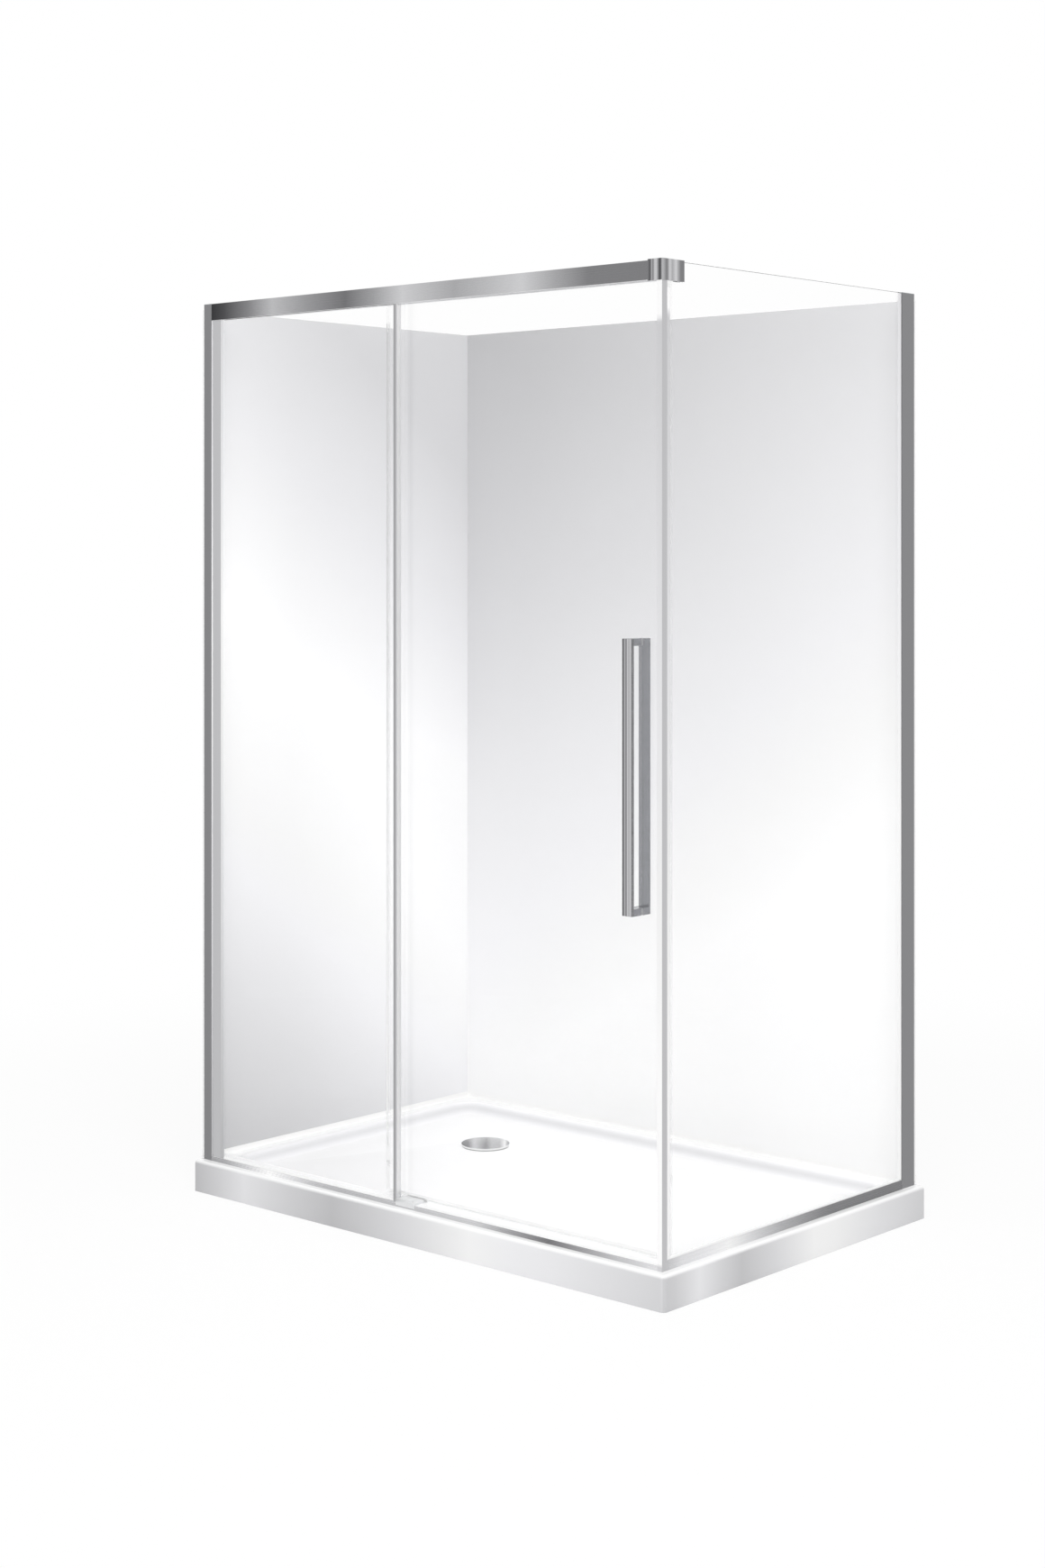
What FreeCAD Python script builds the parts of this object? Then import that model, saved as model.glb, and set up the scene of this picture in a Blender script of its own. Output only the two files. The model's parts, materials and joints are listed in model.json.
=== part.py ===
import FreeCAD, Part
import math
import os

# Corner shower enclosure: tray, two wall linings, a fixed front panel, a fixed
# side panel and a front door that hangs on grooved wheels and slides left behind
# the fixed panel.  Millimetres.  X runs right along the front, Y runs back to the
# rear wall, Z up.  The origin is the centre of the tray's footprint on the floor.

os.makedirs("parts", exist_ok=True)
Vec = FreeCAD.Vector

# Overall
tray_length = 1350.0
tray_depth = 900.0
tray_height = 70.0
overall_height = 2000.0
front_setback = 20.0  # tray's front edge to the face of the rail and sill
side_setback = 20.0  # tray's right edge to the face of the side sill

# Tray
tray_edge_radius = 8.0
tray_corner_radius = 10.0
skirt_wall = 5.0
rim_wall = 6.0
upstand_wall = 3.0
upstand_height = 20.0
front_ledge = 75.0
right_ledge = 60.0
left_ledge = 40.0
back_ledge = 40.0
basin_corner_radius = 60.0
basin_wall = 6.0
cove_width = 36.0
cove_drop = 23.0
cove_sections = 7
cove_lead = 0.15  # share of the cove's fall that is a straight slope
floor_fall = 9.0  # foot of the cove down to the waste
floor_wall = 6.0  # floor thickness at the waste
drain_from_left = 307.0
drain_from_front = 635.0
drain_flat = 150.0  # side of the flat square round the waste
drain_flat_radius = 45.0
drain_hole_radius = 43.0

# Base board and levelling feet
board_thickness = 12.0
board_inset = 8.0
board_hole_radius = 70.0
foot_columns = 3
foot_rows = 2
foot_inset = 95.0
foot_pad_radius = 22.0
foot_pad_height = 5.0
foot_stud_radius = 5.0
foot_socket_radius = 9.0
foot_flange_radius = 17.0
foot_flange_thickness = 3.0
foot_thread_play = 0.05
foot_nut_radius = 7.5
foot_nut_height = 4.0
foot_stud_bite = 7.0  # stud goes this far into the board
foot_socket_bite = 9.5

# Waste
waste_flange_radius = 55.0
waste_flange_thickness = 2.2
waste_seal_thickness = 0.8
waste_tube_radius = 40.0
waste_tube_wall = 2.8
waste_tube_depth = 12.0  # below the tray's underside
waste_ledge = 2.6  # step in the tube that carries the strainer
waste_cup_wall = 3.0
waste_cup_floor = 14.0  # height of the cup's floor above the ground
waste_cup_play = 0.1
waste_collar = 3.0
waste_under_seal_thickness = 3.0
waste_under_seal_play = 1.0
waste_outlet_radius = 20.0
waste_outlet_wall = 3.0
waste_outlet_foot = 1.0
waste_cover_radius = 57.0
waste_cover_thickness = 2.0
waste_cover_dome = 4.0
waste_cover_gap = 1.6  # water gap between flange and cover
waste_cover_rings = 5
waste_cover_rim = 1.2
strainer_wall = 1.6
strainer_slots = 12
strainer_slot_width = 5.0
strainer_play = 0.4
strainer_floor_gap = 3.0
strainer_rest_gap = 0.3
stem_radius = 4.0

# Wall linings
lining_thickness = 5.0
lining_foot = 78.0
lining_short = 15.0  # below the top of the enclosure
lining_edge = 1.0
wall_drill = 20.0  # reach of the drill for the wall screws

# Glass
glass_thickness = 6.0
glass_arris = 0.8
glazing_gap = 2.5  # between front glass and rail or sill wall
side_glazing_gap = 1.5  # between side glass and its profiles

# Rail
rail_wall = 2.5
rail_height = 38.0
track_reach = 12.0
track_lip = 2.5
bead_width = 3.0
bead_height = 3.0
rib_width = 6.0
rib_gap = 1.0  # between wheel rim and the rib that stops the door lifting off
rear_lip_height = 14.0
rail_round = 0.8
fixed_glass_bite = 12.0  # fixed glass reaches this far into the rail

# Wheels and axles
wheel_width = 9.0
wheel_tread_radius = 10.4
wheel_flange_height = 2.0
groove_play = 0.2
groove_flare = 1.3
wheel_round = 0.5
rolling_gap = 0.3
bearing_radius = 6.5
bearing_width = 5.0
bearing_play = 0.05
bearing_seat_lip = 0.7
bearing_ring = 1.0
bearing_shield_step = 0.4
axle_radius = 3.0
axle_head_radius = 5.0
axle_head_thickness = 3.1
axle_collar_radius = 6.0
axle_collar_thickness = 2.2
axle_side_play = 0.3
axle_bevel = 0.6
axle_socket_radius = 2.3
axle_socket_depth = 1.9
roller_washer_radius = 8.0
washer_thickness = 1.0
roller_cap_radius = 9.0
roller_cap_thickness = 5.5
roller_cap_crown = 1.5
roller_cap_play = 0.2
roller_hole_radius = 5.0
cap_clearance = 1.0
hole_to_glass_top = 15.0
roller_inset_leading = 80.0
roller_inset_trailing = 70.0

# Door
door_open_gap = 23.5  # left lining to the glass of the open door
door_overlap = 54.0  # closed door behind the fixed panel's free edge
door_to_side_glass = 8.5
door_foot_gap = 6.0  # sill top to the door glass
door_seal_wall = 1.2
door_seal_grip = 8.0
door_seal_nose = 6.2
trailing_seal_nose = 2.2
bottom_seal_gap = 0.8
seal_shoulder = 1.2
seal_tip = 1.4
seal_end_gap = 1.0
seal_foot_gap = 2.0
seal_head_gap = 3.0
strike_wall = 1.2
strike_play = 2.5
strike_lap = 4.0

# Fixed panel and stiles
fixed_glass_edge = 734.5  # free edge, measured from the tray's right end
meeting_width = 8.0
meeting_depth = 13.0
meeting_wall = 1.8
meeting_proud = 1.5
meeting_round = 0.8
fin_base = 1.2
fin_thickness = 1.2
fin_side = 1.0
fin_gap = 0.3
channel_width = 25.0
channel_depth = 24.0
channel_wall = 2.0
channel_cap = 2.0
stile_reach = 29.0  # stile showing beside the channel
stile_wall = 1.7
stile_play = 0.3
stile_pocket = 15.0
side_channel_width = 47.0
side_profile_thickness = 13.0
side_wall = 2.0
side_glass_bite = 35.0  # side glass reaches this far into its channel
side_gasket_short = 2.0
screw_end = 250.0  # wall screws start this far from floor and top
screw_count = 4
screw_hole_radius = 2.5
lock_screw_end = 300.0
lock_screw_count = 3
lock_screw_radius = 2.0
lock_screw_place = 15.0  # from the wall along the channel
lock_screw_bite = 1.0
plug_depth = 4.0
plug_short = 3.0

# Sills and corner post
sill_height = 10.0
sill_wall = 2.5
sill_plate = 2.0
sill_depth = 42.0
infill_plate = 1.5
side_sill_height = 20.0
side_glass_lift = 2.0
front_glass_lift = 2.0
corner_post_depth = 15.0
post_round = 1.5
setting_block_length = 60.0
setting_block_inset = 60.0

# Corner bracket
bracket_proud = 2.5
bracket_top = 2.0
bracket_below = 1.5
bracket_front_leg = 34.0
bracket_side_leg = 65.0
bracket_round = 6.0
pad_thickness = 1.0
clamp_plate_thickness = 4.0
clamp_plate_depth = 18.0
clamp_screw_radius = 2.5
clamp_hole_radius = 4.0
clamp_screw_bite = 3.0
clamp_screw_spread = 20.0
clamp_gap = 1.0
bracket_edge_round = 1.0
bracket_play = 0.1
bracket_screw_radius = 2.0
bracket_screw_head = 4.0
bracket_screw_first = 8.0
bracket_screw_pitch = 10.0
socket_radius = 1.4

# Rail stops and bottom guide
stop_length = 16.0
stop_height = 20.0
stop_bumper = 3.0
stop_play = 0.3
stop_bevel = 2.0
stop_groove_play = 0.5
stop_fit = 0.1
tongue_reach = 30.0
tongue_height = 16.0
tongue_play = 0.1
tongue_round = 1.0
tongue_screw_radius = 1.5
tongue_screw_bite = 6.0
stop_screw_radius = 2.5
guide_length = 55.0
guide_front_top = 7.0  # above the sill
guide_drop = 7.0  # the block fills a notch this deep in the sill
guide_slot_play = 0.4
guide_end_play = 0.2
guide_round = 2.5
guide_screw_radius = 1.4
guide_screw_head = 3.0
guide_screw_inset = 12.0

# Handle
handle_from_edge = 57.0  # door's leading edge to the bar
handle_width = 24.5
handle_thickness = 6.5
handle_height = 535.0
handle_foot = 738.0
handle_post_height = 14.0
handle_outer_reach = 30.0  # glass face to the outside of the bar
handle_inner_reach = 24.0
handle_edge_radius = 1.2
handle_stud_radius = 3.0
handle_hole_radius = 5.0
handle_stud_depth = 12.0
handle_stud_play = 0.05
handle_stud_bevel = 0.6

# Places that follow from the sizes above
left_x = -tray_length / 2
right_x = tray_length / 2
front_y = -tray_depth / 2
back_y = tray_depth / 2
drain_x = left_x + drain_from_left
drain_y = front_y + drain_from_front
floor_top = tray_height - cove_drop - floor_fall
tray_underside = floor_top - floor_wall
lining_x = left_x + upstand_wall + lining_thickness  # lined face of the left wall
lining_y = back_y - upstand_wall - lining_thickness  # lined face of the back wall
lining_top = overall_height - lining_short

frame_y = front_y + front_setback  # outer face of rail, sill and left channel
frame_x = right_x - side_setback  # outer face of side sill, post and side channel
fixed_y0 = frame_y + rail_wall + glazing_gap
fixed_y1 = fixed_y0 + glass_thickness
web_y0 = fixed_y1 + glazing_gap
web_y1 = web_y0 + rail_wall
bead_y = web_y1 + track_reach / 2
door_y0 = (
    bead_y
    + wheel_width / 2
    + axle_side_play
    + axle_collar_thickness
    + washer_thickness
)
door_y1 = door_y0 + glass_thickness
rear_lip_y0 = door_y1 + washer_thickness + roller_cap_thickness + cap_clearance
rear_lip_y1 = rear_lip_y0 + rail_wall

rail_top = overall_height - bracket_top
rail_bottom = rail_top - rail_height
track_top = rail_bottom + track_lip
bead_top = track_top + bead_height
axle_z = bead_top + rolling_gap + wheel_tread_radius
wheel_radius = wheel_tread_radius + wheel_flange_height
rib_bottom = axle_z + wheel_radius + rib_gap
door_top = axle_z + hole_to_glass_top
sill_top = tray_height + sill_height
door_foot = sill_top + door_foot_gap
fixed_foot = tray_height + sill_plate + front_glass_lift
fixed_top = rail_bottom + fixed_glass_bite

side_x1 = frame_x - side_wall - side_glazing_gap  # outer face of the side glass
side_x0 = side_x1 - glass_thickness
post_x = frame_x - side_profile_thickness  # inner face of post and side sill
side_foot = tray_height + sill_wall + side_glass_lift
door_lead = side_x0 - door_to_side_glass
fixed_edge = right_x - fixed_glass_edge
door_trail = fixed_edge - door_overlap
door_travel = door_trail - lining_x - door_open_gap
channel_x = lining_x + channel_width  # open side of the left channel
stile_x = channel_x + stile_reach
rail_left = channel_x
rail_right = side_x0 - pad_thickness
leading_x = door_lead - roller_inset_leading
trailing_x = door_trail + roller_inset_trailing
side_channel_y = lining_y - side_channel_width
bracket_foot = rail_bottom - bracket_below
side_glass_front = frame_y + sill_wall + side_glazing_gap
clamp_y0 = rear_lip_y1 + clamp_gap
clamp_y = clamp_y0 + clamp_plate_depth / 2


def heights(end, count):
    # evenly spaced, the first and last this far from the floor and the top
    step = (overall_height - 2 * end) / (count - 1)
    return [end + step * number for number in range(count)]


def block(x0, x1, y0, y1, z0, z1):
    return Part.makeBox(x1 - x0, y1 - y0, z1 - z0, Vec(x0, y0, z0))


def extrude(points, direction):
    return Part.Face(Part.makePolygon(points + points[:1])).extrude(direction)


def along_x(section, x0, x1):
    return extrude([Vec(x0, y, z) for y, z in section], Vec(x1 - x0, 0, 0))


def along_y(section, y0, y1):
    return extrude([Vec(x, y0, z) for x, z in section], Vec(0, y1 - y0, 0))


def along_z(section, z0, z1):
    return extrude([Vec(x, y, z0) for x, y in section], Vec(0, 0, z1 - z0))


def lathe(section):
    # section is (radius, height) pairs, turned once round Z
    points = [Vec(r, 0, z) for r, z in section]
    face = Part.Face(Part.makePolygon(points + points[:1]))
    return face.revolve(Vec(0, 0, 0), Vec(0, 0, 1), 360)


def placed(shape, x, y, z, direction=Vec(0, 0, 1)):
    # moves a shape made up from the origin along +Z to a point and a direction
    moved = shape.copy()
    turn = FreeCAD.Rotation(Vec(0, 0, 1), direction)
    moved.Placement = FreeCAD.Placement(Vec(x, y, z), turn)
    return moved


def bore(x, y, z, radius, length, direction=Vec(0, 0, 1)):
    return Part.makeCylinder(radius, length, Vec(x, y, z), direction)


def softened(shape, radius, wanted):
    # rounds the straight edges for which wanted(edge middle, edge direction) holds
    edges = []
    for edge in shape.Edges:
        if isinstance(edge.Curve, Part.Line):
            middle = edge.valueAt((edge.FirstParameter + edge.LastParameter) / 2)
            if wanted(middle, edge.tangentAt(edge.FirstParameter)):
                edges.append(edge)
    return shape.makeFillet(radius, edges)


def rounded_wire(x0, x1, y0, y1, z, radius):
    slack = radius * (1 - math.sqrt(0.5))
    corners = (
        (x1, y0, -1, 1),
        (x1, y1, -1, -1),
        (x0, y1, 1, -1),
        (x0, y0, 1, 1),
    )
    points = []
    for number, (x, y, in_x, in_y) in enumerate(corners):
        across = Vec(x + in_x * radius, y, z)
        upright = Vec(x, y + in_y * radius, z)
        middle = Vec(x + in_x * slack, y + in_y * slack, z)
        order = (across, middle, upright) if number % 2 == 0 else (upright, middle, across)
        points.append(order)
    edges = []
    for number, (start, middle, end) in enumerate(points):
        following = points[(number + 1) % 4][0]
        edges.append(Part.Arc(start, middle, end).toShape())
        edges.append(Part.LineSegment(end, following).toShape())
    return Part.Wire(edges)


def save(node, *solids):
    shape = solids[0] if len(solids) == 1 else Part.makeCompound(list(solids))
    if not shape.isValid():
        print("not valid:", node)
    shape.exportStep("parts/" + node + ".step")


def glass_panel(x0, x1, y0, y1, z0, z1, holes=()):
    panel = block(x0, x1, y0, y1, z0, z1)
    panel = panel.makeChamfer(glass_arris, panel.Edges)
    for hole in holes:
        panel = panel.cut(hole)
    return panel


def pan_screw(radius, length):
    # head above z = 0, shank below, with a hexagon socket in the head
    head = radius * 0.9
    body = lathe(
        [
            (0, -length),
            (radius * 0.8, -length),
            (radius, -length + radius * 0.3),
            (radius, 0),
            (radius * 1.9, 0),
            (radius * 1.9, head * 0.5),
            (radius * 1.3, head),
            (0, head),
        ]
    )
    return body.cut(hex_socket(radius * 0.75, head * 0.4, head))


def hex_socket(radius, z0, z1):
    corners = [
        (radius * math.cos(math.radians(60 * n)), radius * math.sin(math.radians(60 * n)))
        for n in range(6)
    ]
    return along_z(corners, z0, z1)


def basin_wire(inset, z):
    return rounded_wire(
        left_x + left_ledge + inset,
        right_x - right_ledge - inset,
        front_y + front_ledge + inset,
        back_y - back_ledge - inset,
        z,
        basin_corner_radius - inset,
    )


def make_tray():
    # moulded shell: skirt and rim outside, a thick basin with four falls inside
    outer = block(left_x, right_x, front_y, back_y, 0, tray_height)
    outer = softened(
        outer,
        tray_corner_radius,
        lambda p, t: abs(t.z) > 0.9 and p.x > 0 and p.y < 0,
    )
    top_edges = [
        edge
        for edge in outer.Edges
        if abs(edge.BoundBox.ZMin - tray_height) < 0.01
        and (edge.BoundBox.YMin < front_y + 1 or edge.BoundBox.XMax > right_x - 1)
        and not (edge.BoundBox.XMax < left_x + 1 or edge.BoundBox.YMin > back_y - 1)
    ]
    outer = outer.makeFillet(tray_edge_radius, top_edges)
    hollow = block(
        left_x + skirt_wall,
        right_x - skirt_wall,
        front_y + skirt_wall,
        back_y - skirt_wall,
        0,
        tray_height - rim_wall,
    )
    basin = Part.Face(basin_wire(-basin_wall, tray_underside)).extrude(
        Vec(0, 0, tray_height - rim_wall / 2 - tray_underside)
    )
    tray = outer.cut(hollow).fuse(basin)
    sections = []
    for number in range(cove_sections):
        share = number / (cove_sections - 1)
        wave = (1 - math.cos(math.pi * share)) / 2
        ease = cove_lead * share + (1 - cove_lead) * wave
        sections.append(basin_wire(cove_width * share, tray_height - cove_drop * ease))
    tray = tray.cut(Part.makeLoft(sections, True, False))
    flat = rounded_wire(
        drain_x - drain_flat / 2,
        drain_x + drain_flat / 2,
        drain_y - drain_flat / 2,
        drain_y + drain_flat / 2,
        floor_top,
        drain_flat_radius,
    )
    tray = tray.cut(Part.makeLoft([sections[-1], flat], True, True))
    tray = tray.cut(bore(drain_x, drain_y, 0, drain_hole_radius, tray_height))
    upstand_top = tray_height + upstand_height
    lip = block(left_x, frame_x, back_y - upstand_wall, back_y, tray_height - 1, upstand_top)
    lip = lip.fuse(
        block(left_x, left_x + upstand_wall, frame_y, back_y, tray_height - 1, upstand_top)
    )
    save("shower_tray", tray.fuse(lip).removeSplitter())


def make_base():
    board_foot = tray_underside - board_thickness
    board = Part.Face(basin_wire(board_inset, board_foot)).extrude(
        Vec(0, 0, board_thickness)
    )
    board = board.cut(bore(drain_x, drain_y, 0, board_hole_radius, tray_height))
    x0 = left_x + left_ledge + foot_inset
    x1 = right_x - right_ledge - foot_inset
    y0 = front_y + front_ledge + foot_inset
    y1 = back_y - back_ledge - foot_inset
    pads, studs, sockets = [], [], []
    stud_top = board_foot + foot_stud_bite
    pad_seat = foot_pad_height / 2
    nut_top = foot_pad_height + foot_nut_height
    pad = lathe(
        [
            (0, 0),
            (foot_pad_radius, 0),
            (foot_pad_radius, pad_seat),
            (foot_nut_radius, foot_pad_height),
            (foot_stud_radius, foot_pad_height),
            (foot_stud_radius, pad_seat),
            (0, pad_seat),
        ]
    )
    stud = lathe(
        [
            (0, pad_seat),
            (foot_stud_radius, pad_seat),
            (foot_stud_radius, foot_pad_height),
            (foot_nut_radius, foot_pad_height),
            (foot_nut_radius, nut_top),
            (foot_stud_radius, nut_top),
            (foot_stud_radius, stud_top - 1),
            (foot_stud_radius - 1, stud_top),
            (0, stud_top),
        ]
    )
    bore_radius = foot_stud_radius + foot_thread_play
    socket = lathe(
        [
            (bore_radius, board_foot - foot_flange_thickness),
            (foot_flange_radius, board_foot - foot_flange_thickness),
            (foot_flange_radius, board_foot),
            (foot_socket_radius, board_foot),
            (foot_socket_radius, board_foot + foot_socket_bite),
            (bore_radius, board_foot + foot_socket_bite),
        ]
    )
    for column in range(foot_columns):
        for row in range(foot_rows):
            x = x0 + (x1 - x0) * column / (foot_columns - 1)
            y = y0 + (y1 - y0) * row / (foot_rows - 1)
            board = board.cut(
                bore(x, y, board_foot, foot_socket_radius, foot_socket_bite)
            )
            pads.append(placed(pad, x, y, 0))
            studs.append(placed(stud, x, y, 0))
            sockets.append(placed(socket, x, y, 0))
    save("tray_base_board", board)
    save("foot_pads", *pads)
    save("foot_studs", *studs)
    save("foot_sockets", *sockets)


def make_waste():
    seat = floor_top + waste_seal_thickness
    flange_top = seat + waste_flange_thickness
    tube_foot = tray_underside - waste_tube_depth
    tube_bore = waste_tube_radius - waste_tube_wall
    ledge_bore = tube_bore - waste_ledge
    top_seal = lathe(
        [
            (waste_tube_radius, floor_top),
            (waste_flange_radius, floor_top),
            (waste_flange_radius, seat),
            (waste_tube_radius, seat),
        ]
    )
    flange = lathe(
        [
            (ledge_bore, tube_foot),
            (waste_tube_radius, tube_foot),
            (waste_tube_radius, seat),
            (waste_flange_radius, seat),
            (waste_flange_radius, seat + waste_flange_thickness / 2),
            (waste_flange_radius - waste_collar, flange_top),
            (tube_bore, flange_top),
            (tube_bore, seat),
            (ledge_bore, seat),
        ]
    )
    save("waste_flange", placed(flange, drain_x, drain_y, 0))
    cup_bore = waste_tube_radius + waste_cup_play
    cup_radius = cup_bore + waste_cup_wall
    seal_z = tray_underside - waste_under_seal_thickness
    outlet_bore = waste_outlet_radius - waste_outlet_wall
    cup = lathe(
        [
            (outlet_bore, waste_outlet_foot),
            (waste_outlet_radius, waste_outlet_foot),
            (waste_outlet_radius, waste_cup_floor - waste_cup_wall),
            (cup_radius, waste_cup_floor - waste_cup_wall),
            (cup_radius, seal_z - waste_collar),
            (waste_flange_radius, seal_z - waste_collar),
            (waste_flange_radius, seal_z),
            (cup_bore, seal_z),
            (cup_bore, waste_cup_floor),
            (outlet_bore, waste_cup_floor),
        ]
    )
    save("waste_body", placed(cup, drain_x, drain_y, 0))
    under_seal = lathe(
        [
            (drain_hole_radius + waste_under_seal_play, seal_z),
            (waste_flange_radius, seal_z),
            (waste_flange_radius, tray_underside),
            (drain_hole_radius + waste_under_seal_play, tray_underside),
        ]
    )
    seals = [placed(seal, drain_x, drain_y, 0) for seal in (top_seal, under_seal)]
    save("waste_seals", *seals)

    # the domed cover, its stem and the basket lift out together
    rim_z = flange_top + waste_cover_gap
    basket_foot = waste_cup_floor + strainer_floor_gap
    basket_bore = ledge_bore - strainer_play - strainer_wall
    under, over = [], []
    for number in range(waste_cover_rings + 1):
        share = number / waste_cover_rings
        radius = stem_radius + (waste_cover_radius - waste_cover_rim - stem_radius) * share
        height = rim_z + waste_cover_dome * math.cos(math.pi / 2 * share)
        under.append((radius, height))
        over.append((radius if number else 0, height + waste_cover_thickness))
    edge = [
        (waste_cover_radius, rim_z + waste_cover_rim / 2),
        (waste_cover_radius, rim_z + waste_cover_thickness - waste_cover_rim / 2),
    ]
    stem_foot = basket_foot + strainer_wall
    dome = under + edge + over[::-1] + [(0, stem_foot), (stem_radius, stem_foot)]
    save("waste_cover", placed(lathe(dome), drain_x, drain_y, 0))
    basket_radius = basket_bore + strainer_wall
    rim_radius = tube_bore - strainer_play
    rim_foot = seat + strainer_rest_gap
    basket = lathe(
        [
            (0, basket_foot),
            (basket_radius, basket_foot),
            (basket_radius, rim_foot),
            (rim_radius, rim_foot),
            (rim_radius, rim_foot + strainer_wall),
            (basket_bore, rim_foot + strainer_wall),
            (basket_bore, basket_foot + strainer_wall),
            (0, basket_foot + strainer_wall),
        ]
    )
    slot = block(
        basket_bore - 1,
        basket_radius + 1,
        -strainer_slot_width / 2,
        strainer_slot_width / 2,
        basket_foot + 2 * strainer_wall,
        rim_foot - strainer_wall,
    )
    drain_slot = block(
        stem_radius + strainer_slot_width,
        basket_bore - strainer_slot_width,
        -strainer_slot_width / 2,
        strainer_slot_width / 2,
        basket_foot - 1,
        basket_foot + strainer_wall + 1,
    )
    for number in range(strainer_slots):
        angle = 360.0 * number / strainer_slots
        for cutter in (slot, drain_slot):
            if cutter is drain_slot and number % 2:
                continue
            turned = cutter.copy()
            turned.rotate(Vec(0, 0, 0), Vec(0, 0, 1), angle)
            basket = basket.cut(turned)
    save("hair_strainer", placed(basket, drain_x, drain_y, 0))


def make_linings():
    channel_y = frame_y + channel_depth / 2
    left = block(
        lining_x - lining_thickness, lining_x, frame_y, lining_y, lining_foot, lining_top
    )
    left = softened(
        left, lining_edge, lambda p, t: p.x > lining_x - 1 and p.z > lining_top - 1
    )
    back = block(
        lining_x - lining_thickness,
        frame_x,
        lining_y,
        lining_y + lining_thickness,
        lining_foot,
        lining_top,
    )
    back = softened(
        back, lining_edge, lambda p, t: p.y < lining_y + 1 and p.z > lining_top - 1
    )
    for z in heights(screw_end, screw_count):
        left = left.cut(
            bore(left_x, channel_y, z, screw_hole_radius, wall_drill, Vec(1, 0, 0))
        )
        back = back.cut(
            bore(
                frame_x - side_profile_thickness / 2,
                back_y,
                z,
                screw_hole_radius,
                wall_drill,
                Vec(0, -1, 0),
            )
        )
    save("wall_lining_left", left)
    save("wall_lining_back", back)


def make_left_stile():
    # U channel screwed to the wall, and the stile that slides in it to take up
    # a wall that is out of plumb and holds the fixed glass in its pocket
    y1 = frame_y + channel_depth
    middle_y = frame_y + channel_depth / 2
    channel = along_z(
        [
            (lining_x, frame_y),
            (channel_x, frame_y),
            (channel_x, frame_y + channel_wall),
            (lining_x + channel_wall, frame_y + channel_wall),
            (lining_x + channel_wall, y1 - channel_wall),
            (channel_x, y1 - channel_wall),
            (channel_x, y1),
            (lining_x, y1),
        ],
        tray_height,
        rail_top - channel_cap,
    )
    for z in heights(screw_end, screw_count):
        channel = channel.cut(
            bore(left_x, middle_y, z, screw_hole_radius, wall_drill, Vec(1, 0, 0))
        )
    inner_x0 = lining_x + channel_wall + stile_play
    inner_y0 = frame_y + channel_wall + stile_play
    inner_y1 = y1 - channel_wall - stile_play
    pocket_x = stile_x - stile_pocket
    pocket_y = fixed_y1 + stile_play + stile_wall
    stile = along_z(
        [
            (inner_x0, inner_y0),
            (stile_x, inner_y0),
            (stile_x, inner_y0 + stile_wall),
            (pocket_x, inner_y0 + stile_wall),
            (pocket_x, pocket_y - stile_wall),
            (stile_x, pocket_y - stile_wall),
            (stile_x, pocket_y),
            (pocket_x, pocket_y),
            (pocket_x, inner_y1),
            (inner_x0, inner_y1),
            (inner_x0, inner_y1 - stile_wall),
            (pocket_x - stile_wall, inner_y1 - stile_wall),
            (pocket_x - stile_wall, inner_y0 + stile_wall),
            (inner_x0, inner_y0 + stile_wall),
        ],
        sill_top,
        rail_bottom,
    )
    screws = []
    screw_x = lining_x + lock_screw_place
    screw_length = channel_wall + stile_play + stile_wall + lock_screw_bite
    for z in heights(lock_screw_end, lock_screw_count):
        hole = bore(screw_x, y1, z, lock_screw_radius, screw_length, Vec(0, -1, 0))
        channel = channel.cut(hole)
        stile = stile.cut(hole)
        screw = pan_screw(lock_screw_radius, screw_length)
        screws.append(placed(screw, screw_x, y1, z, Vec(0, 1, 0)))
    save("wall_channel_left", channel)
    save("adjusting_stile", stile)
    save("channel_lock_screws", *screws)
    cap_z = rail_top - channel_cap
    cap = block(lining_x, channel_x, frame_y, y1, cap_z, rail_top)
    plug = block(
        lining_x + channel_wall,
        channel_x - plug_short,
        frame_y + channel_wall,
        y1 - channel_wall,
        cap_z - plug_depth,
        cap_z,
    )
    side = block(post_x, frame_x, side_channel_y, lining_y, cap_z, rail_top)
    side = side.cut(
        block(side_x0, side_x1, side_channel_y, side_channel_y + side_glass_bite, cap_z, rail_top)
    )
    save("channel_top_caps", cap.fuse(plug).removeSplitter(), side)


def make_side_channel():
    section = [
        (frame_x, side_channel_y),
        (frame_x, lining_y),
        (post_x, lining_y),
        (post_x, side_channel_y),
        (post_x + side_wall, side_channel_y),
        (post_x + side_wall, lining_y - side_wall),
        (frame_x - side_wall, lining_y - side_wall),
        (frame_x - side_wall, side_channel_y),
    ]
    channel = along_z(section, tray_height, rail_top - channel_cap)
    for z in heights(screw_end, screw_count):
        channel = channel.cut(
            bore(
                frame_x - side_profile_thickness / 2,
                back_y,
                z,
                screw_hole_radius,
                wall_drill,
                Vec(0, -1, 0),
            )
        )
    save("wall_channel_side", channel)


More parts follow.
